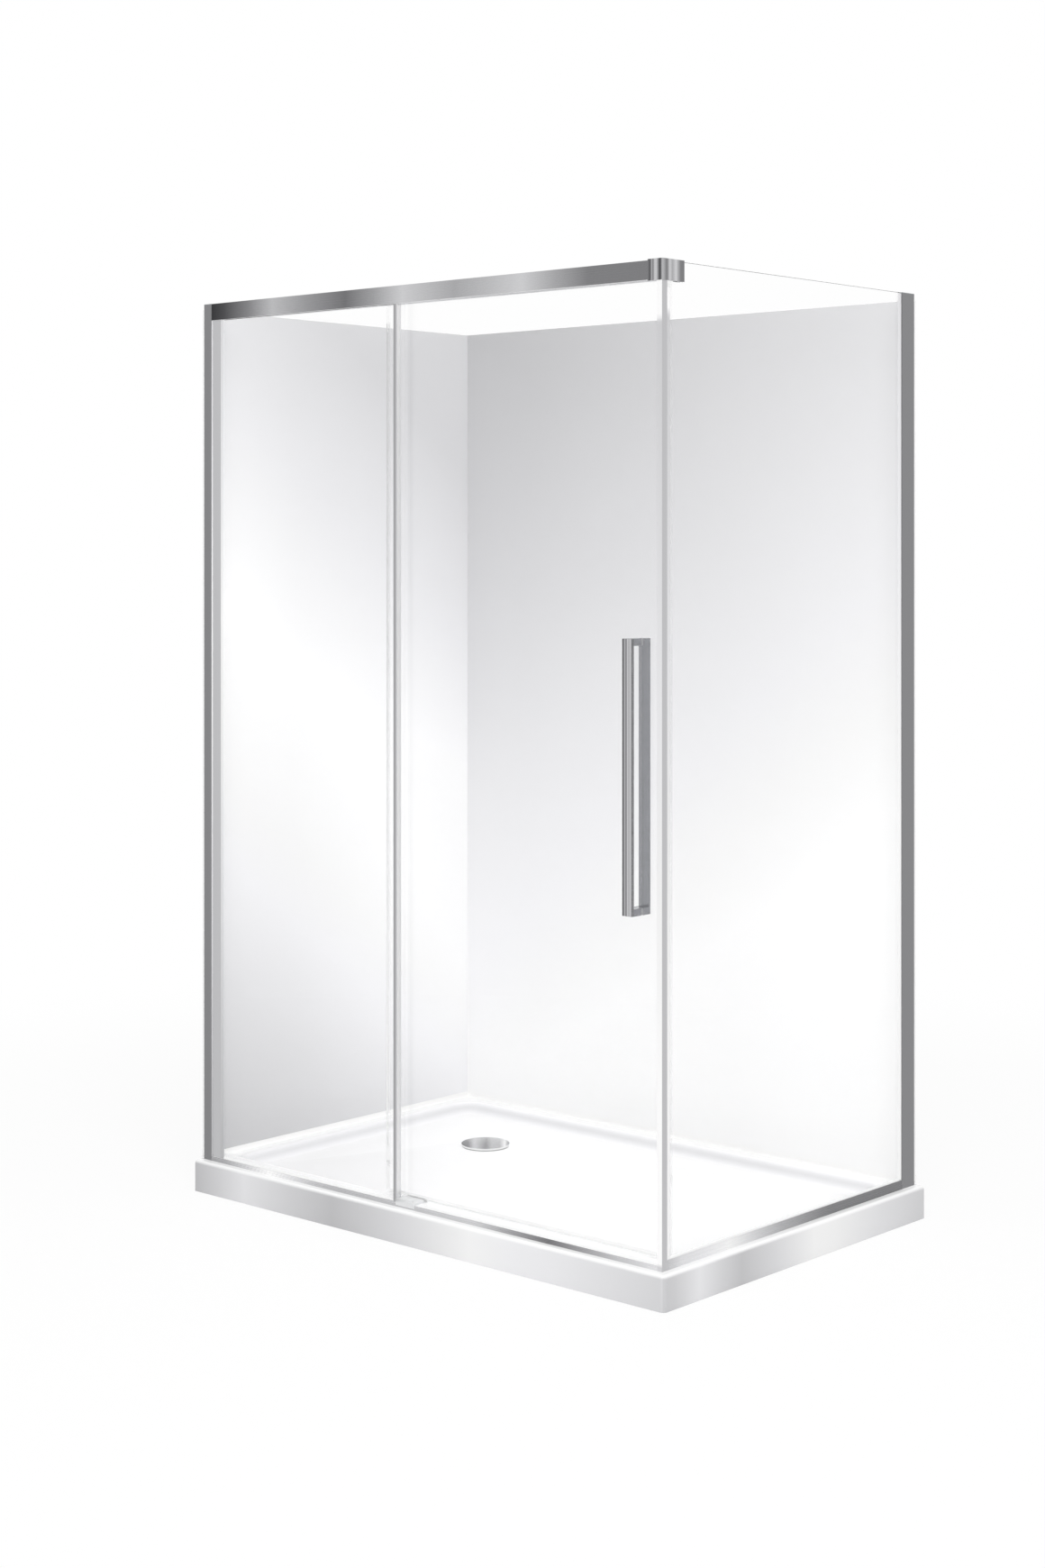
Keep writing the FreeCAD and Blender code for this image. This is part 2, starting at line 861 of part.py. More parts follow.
def make_sills():
    y1 = frame_y + sill_depth
    floor = tray_height + sill_plate
    section = [
        (frame_y, tray_height),
        (frame_y, sill_top),
        (frame_y + sill_wall, sill_top),
        (frame_y + sill_wall, floor),
        (web_y0, floor),
        (web_y0, sill_top),
        (y1, sill_top),
        (y1, tray_height),
        (y1 - sill_plate, tray_height),
        (y1 - sill_plate, sill_top - sill_plate),
        (web_y1, sill_top - sill_plate),
        (web_y1, tray_height),
    ]
    guide_x0 = fixed_edge + guide_end_play
    sill = along_x(section, channel_x, post_x)
    notch = block(
        guide_x0, guide_x0 + guide_length, frame_y - 1, y1 + 1, sill_top - guide_drop, sill_top + 1
    )
    save("front_sill", sill.cut(notch))
    infill_x0 = guide_x0 + guide_length
    infill = [
        (frame_y + sill_wall, floor),
        (frame_y + sill_wall, sill_top),
        (web_y0, sill_top),
        (web_y0, floor),
        (web_y0 - infill_plate, floor),
        (web_y0 - infill_plate, sill_top - infill_plate),
        (frame_y + sill_wall + infill_plate, sill_top - infill_plate),
        (frame_y + sill_wall + infill_plate, floor),
    ]
    save("sill_infill", along_x(infill, infill_x0, post_x))

    side_top = tray_height + side_sill_height
    side_floor = tray_height + sill_wall
    side_section = [
        (frame_x, tray_height),
        (frame_x, side_top),
        (frame_x - side_wall, side_top),
        (frame_x - side_wall, side_floor),
        (post_x + side_wall, side_floor),
        (post_x + side_wall, side_top),
        (post_x, side_top),
        (post_x, tray_height),
    ]
    save("side_sill", along_y(side_section, frame_y + corner_post_depth, side_channel_y))

    post = [
        (frame_x, frame_y),
        (frame_x, frame_y + corner_post_depth),
        (frame_x - side_wall, frame_y + corner_post_depth),
        (frame_x - side_wall, frame_y + sill_wall),
        (post_x + side_wall, frame_y + sill_wall),
        (post_x + side_wall, frame_y + corner_post_depth),
        (post_x, frame_y + corner_post_depth),
        (post_x, frame_y),
    ]
    solid = along_z(post, tray_height, bracket_foot)
    solid = softened(
        solid,
        post_round,
        lambda p, t: abs(t.z) > 0.9 and p.x > frame_x - 0.1 and p.y < frame_y + 0.1,
    )
    save("corner_post", solid)


def make_fixed_glass():
    glass_x0 = stile_x - stile_pocket + stile_play
    save(
        "fixed_glass_front",
        glass_panel(glass_x0, fixed_edge, fixed_y0, fixed_y1, fixed_foot, fixed_top),
    )
    holes = [
        bore(side_x0 - 1, clamp_y, z, clamp_hole_radius, glass_thickness + 2, Vec(1, 0, 0))
        for z in clamp_heights()
    ]
    save(
        "side_glass",
        glass_panel(
            side_x0,
            side_x1,
            side_glass_front,
            side_channel_y + side_glass_bite,
            side_foot,
            rail_top,
            holes,
        ),
    )
    # clear blocks that keep the glass off the metal
    fixed_floor = tray_height + sill_plate
    blocks = []
    last_x = fixed_edge - setting_block_inset - setting_block_length
    for x in (glass_x0 + setting_block_inset, last_x):
        blocks.append(
            block(x, x + setting_block_length, fixed_y0, fixed_y1, fixed_floor, fixed_foot)
        )
    first_y = frame_y + corner_post_depth + setting_block_inset
    for y in (first_y, side_channel_y - setting_block_inset - setting_block_length):
        blocks.append(
            block(
                side_x0,
                side_x1,
                y,
                y + setting_block_length,
                tray_height + sill_wall,
                side_foot,
            )
        )
    save("setting_blocks", *blocks)


def make_gaskets():
    # strips between glass and metal, one each side of the pane
    front_y0, front_y1 = frame_y + rail_wall, web_y0
    stile_y0 = frame_y + channel_wall + stile_play + stile_wall
    glass_x0 = stile_x - stile_pocket + stile_play
    sill_x1 = fixed_edge - meeting_width
    save(
        "front_glass_gaskets",
        block(rail_left, fixed_edge, front_y0, fixed_y0, rail_bottom, fixed_top),
        block(rail_left, fixed_edge, fixed_y1, front_y1, rail_bottom, fixed_top),
        block(stile_x, sill_x1, front_y0, fixed_y0, fixed_foot, sill_top),
        block(stile_x, sill_x1, fixed_y1, front_y1, fixed_foot, sill_top),
        block(glass_x0, stile_x, stile_y0, fixed_y0, sill_top, rail_bottom),
    )
    side_top = tray_height + side_sill_height
    post_y0 = side_glass_front
    post_y1 = frame_y + corner_post_depth
    bite_y = side_channel_y + side_glass_bite - side_gasket_short
    cap_z = rail_top - channel_cap
    strips = []
    for x0, x1 in ((side_x1, frame_x - side_wall), (post_x + side_wall, side_x0)):
        strips.append(block(x0, x1, post_y1, side_channel_y, side_foot, side_top))
        strips.append(block(x0, x1, side_channel_y, bite_y, side_top, cap_z))
        strips.append(block(x0, x1, post_y0, post_y1, side_top, bracket_foot))
    save("side_glass_gaskets", *strips)


def make_meeting_stile():
    # edge profile on the fixed glass, with a fin that wipes the door
    x1 = fixed_edge + meeting_wall
    x0 = fixed_edge - meeting_width
    y0 = fixed_y0 - meeting_proud - meeting_wall
    y1 = y0 + meeting_depth
    profile = along_z(
        [
            (x0, y0),
            (x1, y0),
            (x1, y1),
            (x0, y1),
            (x0, fixed_y1),
            (fixed_edge, fixed_y1),
            (fixed_edge, fixed_y0),
            (x0, fixed_y0),
        ],
        sill_top,
        rail_bottom,
    )
    profile = softened(
        profile, meeting_round, lambda p, t: abs(t.z) > 0.9 and p.y < y0 + 0.1
    )
    save("meeting_stile", profile)
    tip_y = door_y0 - fin_gap
    root_y = y1 + fin_base
    lean = fin_thickness + fin_side
    fin = along_z(
        [
            (x0 + fin_side, y1),
            (x1 - fin_side, y1),
            (x1 - fin_side, root_y),
            (x1 - fin_side - lean, root_y),
            (x1 - fin_side, tip_y),
            (x1 - fin_side - fin_thickness, tip_y),
            (x1 - fin_side - fin_thickness - lean, root_y),
            (x0 + fin_side, root_y),
        ],
        door_foot + door_seal_grip + fin_side,
        rail_bottom,
    )
    save("meeting_fin_seal", fin)


def make_rail(holes):
    # one extrusion: glass slot in front, wheel track behind it, lift-off rib above
    rib_y0 = bead_y - rib_width / 2
    rib_y1 = bead_y + rib_width / 2
    top_inside = rail_top - rail_wall
    half = bead_width / 2
    points = [
        (frame_y, rail_bottom),
        (frame_y, rail_top),
        (rear_lip_y1, rail_top),
        (rear_lip_y1, rail_top - rear_lip_height),
        (rear_lip_y0, rail_top - rear_lip_height),
        (rear_lip_y0, top_inside),
        (rib_y1, top_inside),
        (rib_y1, rib_bottom),
        (rib_y0, rib_bottom),
        (rib_y0, top_inside),
        (web_y1, top_inside),
        (web_y1, track_top),
        (bead_y - half, track_top),
        (bead_y - half, bead_top - half),
        (bead_y, bead_top),
        (bead_y + half, bead_top - half),
        (bead_y + half, track_top),
        (web_y1 + track_reach, track_top),
        (web_y1 + track_reach, rail_bottom),
        (web_y0, rail_bottom),
        (web_y0, top_inside),
        (frame_y + rail_wall, top_inside),
        (frame_y + rail_wall, rail_bottom),
    ]
    corners = [Vec(rail_left, y, z) for y, z in points]
    edges = []
    for number, start in enumerate(corners):
        end = corners[(number + 1) % len(corners)]
        if number == 13:  # the bead's crown is one half round
            edges.append(Part.Arc(start, end, corners[number + 2]).toShape())
        elif number != 14:
            edges.append(Part.LineSegment(start, end).toShape())
    rail = Part.Face(Part.Wire(edges)).extrude(Vec(rail_right - rail_left, 0, 0))
    rail = softened(
        rail, rail_round, lambda p, t: abs(t.x) > 0.9 and p.y < frame_y + 0.1
    )
    for x in bracket_screw_places():
        rail = rail.cut(bore(x, bead_y, rib_bottom, bracket_screw_radius, rail_top - rib_bottom))
    for hole in holes:
        rail = rail.cut(hole)
    save("top_rail", rail)


def bracket_screw_places():
    first = rail_right - bracket_screw_first
    return (first, first - bracket_screw_pitch)


def clamp_heights():
    middle = (bracket_foot + rail_top) / 2
    return (middle - clamp_screw_spread / 2, middle + clamp_screw_spread / 2)


def make_corner_bracket():
    # cast cap that joins rail and side glass, with a clamp plate on the inside
    out_x = frame_x + bracket_proud
    out_y = frame_y - bracket_proud
    leg_x = frame_x - bracket_front_leg
    leg_y = frame_y + bracket_side_leg
    pad_x = side_x1 + pad_thickness
    clamp_x0 = side_x0 - pad_thickness - clamp_plate_thickness
    nose_y = side_glass_front - bracket_play
    cap = along_z(
        [
            (out_x, out_y),
            (leg_x, out_y),
            (leg_x, frame_y),
            (rail_right + bracket_play, frame_y),
            (rail_right + bracket_play, nose_y),
            (pad_x, nose_y),
            (pad_x, leg_y),
            (out_x, leg_y),
        ],
        bracket_foot,
        rail_top,
    )
    roof = along_z(
        [
            (out_x, out_y),
            (leg_x, out_y),
            (leg_x, rear_lip_y1),
            (clamp_x0, rear_lip_y1),
            (clamp_x0, leg_y),
            (out_x, leg_y),
        ],
        rail_top,
        overall_height,
    )
    cap = softened(
        cap.fuse(roof).removeSplitter(),
        bracket_round,
        lambda p, t: abs(t.z) > 0.9 and p.x > out_x - 0.1 and p.y < out_y + 0.1,
    )
    rim = [
        edge
        for edge in cap.Edges
        if edge.BoundBox.ZMin > overall_height - 0.1
        and (edge.BoundBox.XMax > out_x - 0.1 or edge.BoundBox.YMin < out_y + 0.1)
        and edge.BoundBox.YMin < leg_y - 0.1
        and edge.BoundBox.XMax > leg_x + 0.1
    ]
    cap = cap.makeFillet(bracket_edge_round, rim)
    inward = Vec(1, 0, 0)
    plate = block(
        clamp_x0,
        clamp_x0 + clamp_plate_thickness,
        clamp_y0,
        clamp_y0 + clamp_plate_depth,
        bracket_foot,
        rail_top,
    )
    plate = softened(plate, bracket_edge_round, lambda p, t: p.x < clamp_x0 + 0.1)
    screw_length = pad_x + clamp_screw_bite - clamp_x0
    screws = []
    for z in clamp_heights():
        shaft = bore(clamp_x0, clamp_y, z, clamp_screw_radius, screw_length, inward)
        cap = cap.cut(shaft)
        plate = plate.cut(shaft)
        screw = pan_screw(clamp_screw_radius, screw_length)
        screws.append(placed(screw, clamp_x0, clamp_y, z, Vec(-1, 0, 0)))
    save("corner_clamp_plate", plate)
    save("corner_clamp_screws", *screws)

    end_screws = []
    head = [(0, 0), (bracket_screw_radius, 0), (bracket_screw_head, bracket_top), (0, bracket_top)]
    shank = [(0, rib_bottom - rail_top), (bracket_screw_radius, rib_bottom - rail_top)]
    socket = hex_socket(socket_radius, bracket_top / 2, bracket_top)
    for x in bracket_screw_places():
        cap = cap.cut(placed(lathe(head), x, bead_y, rail_top))
        screw = lathe(shank + head[1:]).cut(socket)
        end_screws.append(placed(screw, x, bead_y, rail_top))
    save("corner_bracket", cap)

    inner_x0 = side_x0 - pad_thickness
    foot_z, top_z = bracket_foot + pad_thickness, rail_top - pad_thickness
    pads = [
        block(side_x1, pad_x, side_glass_front, leg_y, foot_z, top_z),
        block(inner_x0, side_x0, clamp_y0, clamp_y0 + clamp_plate_depth, foot_z, top_z),
    ]
    for z in clamp_heights():
        hole = bore(clamp_x0, clamp_y, z, clamp_hole_radius, screw_length, inward)
        pads = [pad.cut(hole) for pad in pads]
    pads.append(
        block(rail_right, side_x0, side_glass_front, rear_lip_y1, rail_bottom, rail_top)
    )
    save("corner_pads", *pads)
    return end_screws


def make_wall_tongue():
    # sits in the left channel and in the rail's glass slot, above the fixed glass
    y0, y1 = frame_y + rail_wall + tongue_play, web_y0 - tongue_play
    z1 = rail_top - channel_cap - plug_depth - tongue_play
    z0 = z1 - tongue_height
    tip_x = rail_left + tongue_reach
    tongue = block(lining_x + channel_wall, tip_x, y0, y1, z0, z1)
    tongue = softened(tongue, tongue_round, lambda p, t: p.x > tip_x - 0.1)
    middle_z = (z0 + z1) / 2
    screw_length = rail_wall + tongue_play + tongue_screw_bite
    holes, screws = [], []
    for share in (1 / 3, 2 / 3):
        x = rail_left + tongue_reach * share
        hole = bore(x, web_y1, middle_z, tongue_screw_radius, screw_length, Vec(0, -1, 0))
        holes.append(hole)
        tongue = tongue.cut(hole)
        screw = pan_screw(tongue_screw_radius, screw_length)
        screws.append(placed(screw, x, web_y1, middle_z, Vec(0, 1, 0)))
    save("rail_wall_tongue", tongue)
    return holes, screws


def make_rail_stops():
    # a block at each end of the wheels' run, clamped astride the bead; its rubber
    # face meets the wheel
    closed_face = leading_x + wheel_radius + stop_play
    open_face = trailing_x - door_travel - wheel_radius - stop_play
    groove = bead_width / 2 + stop_groove_play
    groove_top = bead_top + stop_groove_play
    y0, y1 = web_y1 + stop_fit, web_y1 + track_reach
    top = track_top + stop_height
    section = [
        (y0, track_top),
        (bead_y - groove, track_top),
        (bead_y - groove, groove_top),
        (bead_y + groove, groove_top),
        (bead_y + groove, track_top),
        (y1, track_top),
        (y1, top - stop_bevel),
        (y1 - stop_bevel, top),
        (y0 + stop_bevel, top),
        (y0, top - stop_bevel),
    ]
    grub_length = track_reach - stop_bevel
    grub = lathe(
        [
            (0, 0),
            (stop_screw_radius / 2, 0),
            (stop_screw_radius, stop_screw_radius / 2),
            (stop_screw_radius, grub_length),
            (0, grub_length),
        ]
    ).cut(hex_socket(socket_radius, grub_length - stop_screw_radius, grub_length))
    stops, bumpers, screws = [], [], []
    for face, way in ((closed_face, 1), (open_face, -1)):
        near = face + way * stop_bumper
        far = near + way * stop_length
        centre = (near + far) / 2
        hole = bore(centre, y0, axle_z, stop_screw_radius, track_reach, Vec(0, 1, 0))
        stops.append(along_x(section, min(near, far), max(near, far)).cut(hole))
        bumpers.append(
            block(
                min(face, near),
                max(face, near),
                y0 + stop_bevel,
                y1 - stop_bevel,
                groove_top + stop_groove_play,
                top - stop_bevel,
            )
        )
        screws.append(placed(grub, centre, y0, axle_z, Vec(0, 1, 0)))
    save("rail_stops", *stops)
    save("rail_stop_bumpers", *bumpers)
    save("rail_stop_screws", *screws)


def make_guide():
    # block let into the sill, with a slot that keeps the foot of the door in line
    x0 = fixed_edge + guide_end_play
    x1 = x0 + guide_length
    body_x0 = fixed_edge + meeting_wall + guide_end_play
    y1 = frame_y + sill_depth
    notch = sill_top - guide_drop
    top = sill_top + guide_front_top
    slot_y0 = door_y0 - door_seal_wall - guide_slot_play
    slot_y1 = door_y1 + door_seal_wall + guide_slot_play
    upper = block(body_x0, x1, frame_y, y1, sill_top, top)
    upper = upper.cut(block(body_x0, x1, slot_y0, slot_y1, sill_top, top))
    upper = softened(upper, guide_round, lambda p, t: p.z > top - 0.1 and p.x > x1 - 0.1)
    lower = block(x0, x1, frame_y, y1, notch, sill_top)
    cavity_top = sill_top - sill_plate
    lower = lower.cut(block(x0, x1, web_y1, y1 - sill_plate, notch, cavity_top))
    guide = lower.fuse(upper).removeSplitter()
    y = (frame_y + sill_wall + web_y0) / 2
    floor = tray_height + sill_plate
    head_z = sill_top + guide_front_top / 4
    head_top = head_z + guide_screw_head * 0.8
    screw = lathe(
        [
            (0, floor),
            (guide_screw_radius, floor),
            (guide_screw_radius, head_z),
            (guide_screw_head, head_z),
            (guide_screw_head, head_top - guide_screw_head * 0.3),
            (guide_screw_head * 0.7, head_top),
            (0, head_top),
        ]
    ).cut(hex_socket(socket_radius, head_top - guide_screw_head * 0.4, head_top))
    screws = []
    for x in (body_x0 + guide_screw_inset, x1 - guide_screw_inset):
        guide = guide.cut(bore(x, y, notch, guide_screw_radius, top - notch))
        guide = guide.cut(bore(x, y, head_z, guide_screw_head + guide_end_play, top - head_z))
        screws.append(placed(screw, x, y, 0))
    save("bottom_guide", guide)
    save("guide_screws", *screws)


def handle_places():
    x1 = door_lead - handle_from_edge
    x0 = x1 - handle_width
    z0 = handle_foot + handle_post_height / 2
    z1 = handle_foot + handle_height - handle_post_height / 2
    return x0, x1, z0, z1


def make_door():
    x0, x1, z0, z1 = handle_places()
    middle = (x0 + x1) / 2
    holes = [
        bore(x, door_y0 - 1, axle_z, roller_hole_radius, glass_thickness + 2, Vec(0, 1, 0))
        for x in (leading_x, trailing_x)
    ]
    holes += [
        bore(middle, door_y0 - 1, z, handle_hole_radius, glass_thickness + 2, Vec(0, 1, 0))
        for z in (z0, z1)
    ]
    save(
        "door_glass",
        glass_panel(door_trail, door_lead, door_y0, door_y1, door_foot, door_top, holes),
    )

    # clear edge seals, each a clip on the glass with a soft nose
    y0 = door_y0 - door_seal_wall
    y1 = door_y1 + door_seal_wall
    centre = (door_y0 + door_y1) / 2
    side_foot_z = tray_height + side_sill_height + seal_foot_gap
    side_top_z = bracket_foot - seal_head_gap

    def edge_seal(edge, way, nose):
        section = [
            (edge - way * door_seal_grip, y0),
            (edge + way * seal_shoulder, y0),
            (edge + way * nose, centre - seal_tip),
            (edge + way * nose, centre + seal_tip),
            (edge + way * seal_shoulder, y1),
            (edge - way * door_seal_grip, y1),
            (edge - way * door_seal_grip, door_y1),
            (edge, door_y1),
            (edge, door_y0),
            (edge - way * door_seal_grip, door_y0),
        ]
        return along_z(section, side_foot_z, side_top_z)

    save("door_leading_seal", edge_seal(door_lead, 1, door_seal_nose))
    save("door_trailing_seal", edge_seal(door_trail, -1, trailing_seal_nose))
    foot = sill_top + bottom_seal_gap
    end_gap = door_seal_grip + seal_end_gap
    section = [
        (y0, door_foot + door_seal_grip),
        (y0, door_foot - seal_shoulder),
        (centre - seal_tip, foot),
        (centre + seal_tip, foot),
        (y1, door_foot - seal_shoulder),
        (y1, door_foot + door_seal_grip),
        (door_y1, door_foot + door_seal_grip),
        (door_y1, door_foot),
        (door_y0, door_foot),
        (door_y0, door_foot + door_seal_grip),
    ]
    save(
        "door_bottom_seal",
        along_x(section, door_trail + end_gap, door_lead - end_gap),
    )
    strike_y0 = y0 - strike_play
    strike_y1 = y1 + strike_play
    strike_lip = door_lead - strike_lap
    strike = [
        (side_x0, strike_y0),
        (side_x0, strike_y1),
        (strike_lip, strike_y1),
        (strike_lip, strike_y1 - strike_wall),
        (side_x0 - strike_wall, strike_y1 - strike_wall),
        (side_x0 - strike_wall, strike_y0 + strike_wall),
        (strike_lip, strike_y0 + strike_wall),
        (strike_lip, strike_y0),
    ]
    save("strike_strip", along_z(strike, side_foot_z, bracket_foot))


def make_handle():
    x0, x1, z0, z1 = handle_places()
    middle = (x0 + x1) / 2
    z_low = handle_foot
    z_high = handle_foot + handle_height
    half_post = handle_post_height / 2
    out_y = door_y0 - handle_outer_reach
    in_y = door_y1 + handle_inner_reach

    def bar(y0, y1, outside):
        solid = block(x0, x1, y0, y1, z_low, z_high)
        return softened(
            solid, handle_edge_radius, lambda p, t: abs(p.y - outside) < 0.1
        )

    save("handle_outer_bar", bar(out_y, out_y + handle_thickness, out_y))
    save("handle_inner_bar", bar(in_y - handle_thickness, in_y, in_y))
    outer, inner, washers, studs = [], [], [], []
    outer_y0 = out_y + handle_thickness
    outer_y1 = door_y0 - washer_thickness
    inner_y0 = door_y1 + washer_thickness
    inner_y1 = in_y - handle_thickness
    hole = handle_stud_radius + handle_stud_play
    for z in (z0, z1):
        post = block(x0, x1, outer_y0, outer_y1, z - half_post, z + half_post)
        outer.append(post.cut(bore(middle, outer_y1, z, hole, handle_stud_depth, Vec(0, -1, 0))))
        post = block(x0, x1, inner_y0, inner_y1, z - half_post, z + half_post)
        inner.append(post.cut(bore(middle, inner_y0, z, hole, handle_stud_depth, Vec(0, 1, 0))))
        ring = lathe(
            [
                (hole, 0),
                (handle_post_height / 2, 0),
                (handle_post_height / 2, washer_thickness),
                (hole, washer_thickness),
            ]
        )
        washers.append(placed(ring, middle, outer_y1, z, Vec(0, 1, 0)))
        washers.append(placed(ring, middle, door_y1, z, Vec(0, 1, 0)))
        length = inner_y0 - outer_y1 + 2 * (handle_stud_depth - washer_thickness)
        stud = lathe(
            [
                (0, 0),
                (handle_stud_radius - handle_stud_bevel, 0),
                (handle_stud_radius, handle_stud_bevel),
                (handle_stud_radius, length - handle_stud_bevel),
                (handle_stud_radius - handle_stud_bevel, length),
                (0, length),
            ]
        )
        studs.append(placed(stud, middle, (outer_y1 + inner_y0 - length) / 2, z, Vec(0, 1, 0)))
    save("handle_outer_posts", *outer)
    save("handle_inner_posts", *inner)
    save("handle_washers", *washers)
    save("handle_studs", *studs)


def make_rollers():
    # everything here is made up along Y from the middle of the bead
    half = wheel_width / 2
    bearing_front = half - bearing_width
    groove = bead_width / 2 + groove_play
    seat_lip = bearing_radius - bearing_seat_lip
    wheel = lathe(
        [
            (seat_lip, -half),
            (wheel_radius - wheel_round, -half),
            (wheel_radius, -half + wheel_round),
            (wheel_radius, -groove - groove_flare),
            (wheel_tread_radius, -groove),
            (wheel_tread_radius, groove),
            (wheel_radius, groove + groove_flare),
            (wheel_radius, half - wheel_round),
            (wheel_radius - wheel_round, half),
            (bearing_radius, half),
            (bearing_radius, bearing_front),
            (seat_lip, bearing_front),
        ]
    )
    inner = axle_radius + bearing_play
    shield_inner, shield_outer = inner + bearing_ring, bearing_radius - bearing_ring
    shield_front = bearing_front + bearing_shield_step
    shield_back = half - bearing_shield_step
    bearing = lathe(
        [
            (inner, bearing_front),
            (shield_inner, bearing_front),
            (shield_inner, shield_front),
            (shield_outer, shield_front),
            (shield_outer, bearing_front),
            (bearing_radius, bearing_front),
            (bearing_radius, half),
            (shield_outer, half),
            (shield_outer, shield_back),
            (shield_inner, shield_back),
            (shield_inner, half),
            (inner, half),
        ]
    )
    head_back = bearing_front - axle_side_play
    head_front = head_back - axle_head_thickness
    collar_y = half + axle_side_play
    washer_y = collar_y + axle_collar_thickness
    cap_y = washer_y + 2 * washer_thickness + glass_thickness
    axle_end = cap_y + roller_cap_thickness - roller_cap_crown
    axle = lathe(
        [
            (0, head_front),
            (axle_head_radius - axle_bevel, head_front),
            (axle_head_radius, head_front + axle_bevel),
            (axle_head_radius, head_back),
            (axle_radius, head_back),
            (axle_radius, collar_y),
            (axle_collar_radius, collar_y),
            (axle_collar_radius, washer_y),
            (axle_radius, washer_y),
            (axle_radius, axle_end - axle_bevel),
            (axle_radius - axle_bevel, axle_end),
            (0, axle_end),
        ]
    ).cut(hex_socket(axle_socket_radius, head_front, head_front + axle_socket_depth))
    washer = lathe(
        [
            (axle_radius, 0),
            (roller_washer_radius, 0),
            (roller_washer_radius, washer_thickness),
            (axle_radius, washer_thickness),
        ]
    )
    cap_bore = axle_end - cap_y + roller_cap_play
    cap = lathe(
        [
            (axle_radius, 0),
            (roller_cap_radius, 0),
            (roller_cap_radius, roller_cap_thickness - roller_cap_crown),
            (roller_cap_radius - roller_cap_crown, roller_cap_thickness),
            (0, roller_cap_thickness),
            (0, cap_bore),
            (axle_radius, cap_bore),
        ]
    )
    bush = lathe(
        [
            (axle_radius, 0),
            (roller_hole_radius, 0),
            (roller_hole_radius, glass_thickness),
            (axle_radius, glass_thickness),
        ]
    )
    back = Vec(0, 1, 0)
    axles, washers, caps, bushes = [], [], [], []
    for name, x in (("leading", leading_x), ("trailing", trailing_x)):
        save("roller_wheel_" + name, placed(wheel, x, bead_y, axle_z, back))
        save("roller_bearing_" + name, placed(bearing, x, bead_y, axle_z, back))
        axles.append(placed(axle, x, bead_y, axle_z, back))
        washers.append(placed(washer, x, bead_y + washer_y, axle_z, back))
        washers.append(placed(washer, x, door_y1, axle_z, back))
        caps.append(placed(cap, x, bead_y + cap_y, axle_z, back))
        bushes.append(placed(bush, x, door_y0, axle_z, back))
    save("roller_axles", *axles)
    save("roller_washers", *washers)
    save("roller_cap_nuts", *caps)
    save("roller_bushes", *bushes)


make_tray()
make_base()
make_waste()
make_linings()
make_left_stile()
make_side_channel()
make_sills()
make_fixed_glass()
make_gaskets()
make_meeting_stile()
tongue_holes, tongue_screws = make_wall_tongue()
make_rail(tongue_holes)
save("rail_end_screws", *make_corner_bracket(), *tongue_screws)
make_rail_stops()
make_guide()
make_door()
make_handle()
make_rollers()
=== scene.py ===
import json
import math

import bmesh
import bpy
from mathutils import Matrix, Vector

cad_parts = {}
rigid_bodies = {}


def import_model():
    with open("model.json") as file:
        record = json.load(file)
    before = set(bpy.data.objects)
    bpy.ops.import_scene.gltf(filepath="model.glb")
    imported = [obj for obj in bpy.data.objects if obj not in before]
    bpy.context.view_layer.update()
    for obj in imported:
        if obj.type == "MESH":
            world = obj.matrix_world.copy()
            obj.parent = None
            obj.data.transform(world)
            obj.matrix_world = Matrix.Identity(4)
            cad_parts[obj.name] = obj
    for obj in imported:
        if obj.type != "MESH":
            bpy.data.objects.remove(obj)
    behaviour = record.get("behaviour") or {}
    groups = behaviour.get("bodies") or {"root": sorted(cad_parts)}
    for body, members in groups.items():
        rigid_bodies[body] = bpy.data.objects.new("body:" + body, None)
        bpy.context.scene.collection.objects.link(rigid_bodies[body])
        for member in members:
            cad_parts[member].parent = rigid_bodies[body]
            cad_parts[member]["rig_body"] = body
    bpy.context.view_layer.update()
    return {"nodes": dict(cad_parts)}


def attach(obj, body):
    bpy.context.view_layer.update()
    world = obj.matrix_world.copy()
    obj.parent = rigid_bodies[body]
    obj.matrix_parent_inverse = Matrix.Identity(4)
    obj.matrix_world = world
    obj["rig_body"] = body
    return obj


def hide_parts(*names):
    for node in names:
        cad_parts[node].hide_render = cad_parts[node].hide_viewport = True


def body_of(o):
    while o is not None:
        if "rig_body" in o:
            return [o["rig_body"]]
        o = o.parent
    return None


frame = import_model()
nodes = frame["nodes"]
scene = bpy.context.scene
mm = 0.001
xAxis, yAxis, zAxis = (1, 0, 0), (0, 1, 0), (0, 0, 1)
print("frame loaded:", len(nodes), "nodes")


def paint(hexText):
    # sRGB hex to the linear colour that the shaders work in
    levels = [int(hexText[i : i + 2], 16) / 255 for i in (1, 3, 5)]
    return [v / 12.92 if v <= 0.04045 else ((v + 0.055) / 1.055) ** 2.4 for v in levels] + [1]


def grey(level):
    # the darker studio greys are a touch blue, the near whites are neutral
    return "#%02X%02X%02X" % (level, level, level + (2 if level < 240 else 0))


def addNode(tree, kind, inputs=(), **settings):
    # an input is a plain value, an sRGB hex colour, or the output that is linked to it
    node = tree.nodes.new(kind)
    for name, value in settings.items():
        setattr(node, name, value)
    for socket, value in dict(inputs).items():
        if isinstance(value, bpy.types.NodeSocket):
            tree.links.new(value, node.inputs[socket])
        else:
            node.inputs[socket].default_value = paint(value) if isinstance(value, str) else value
    return node


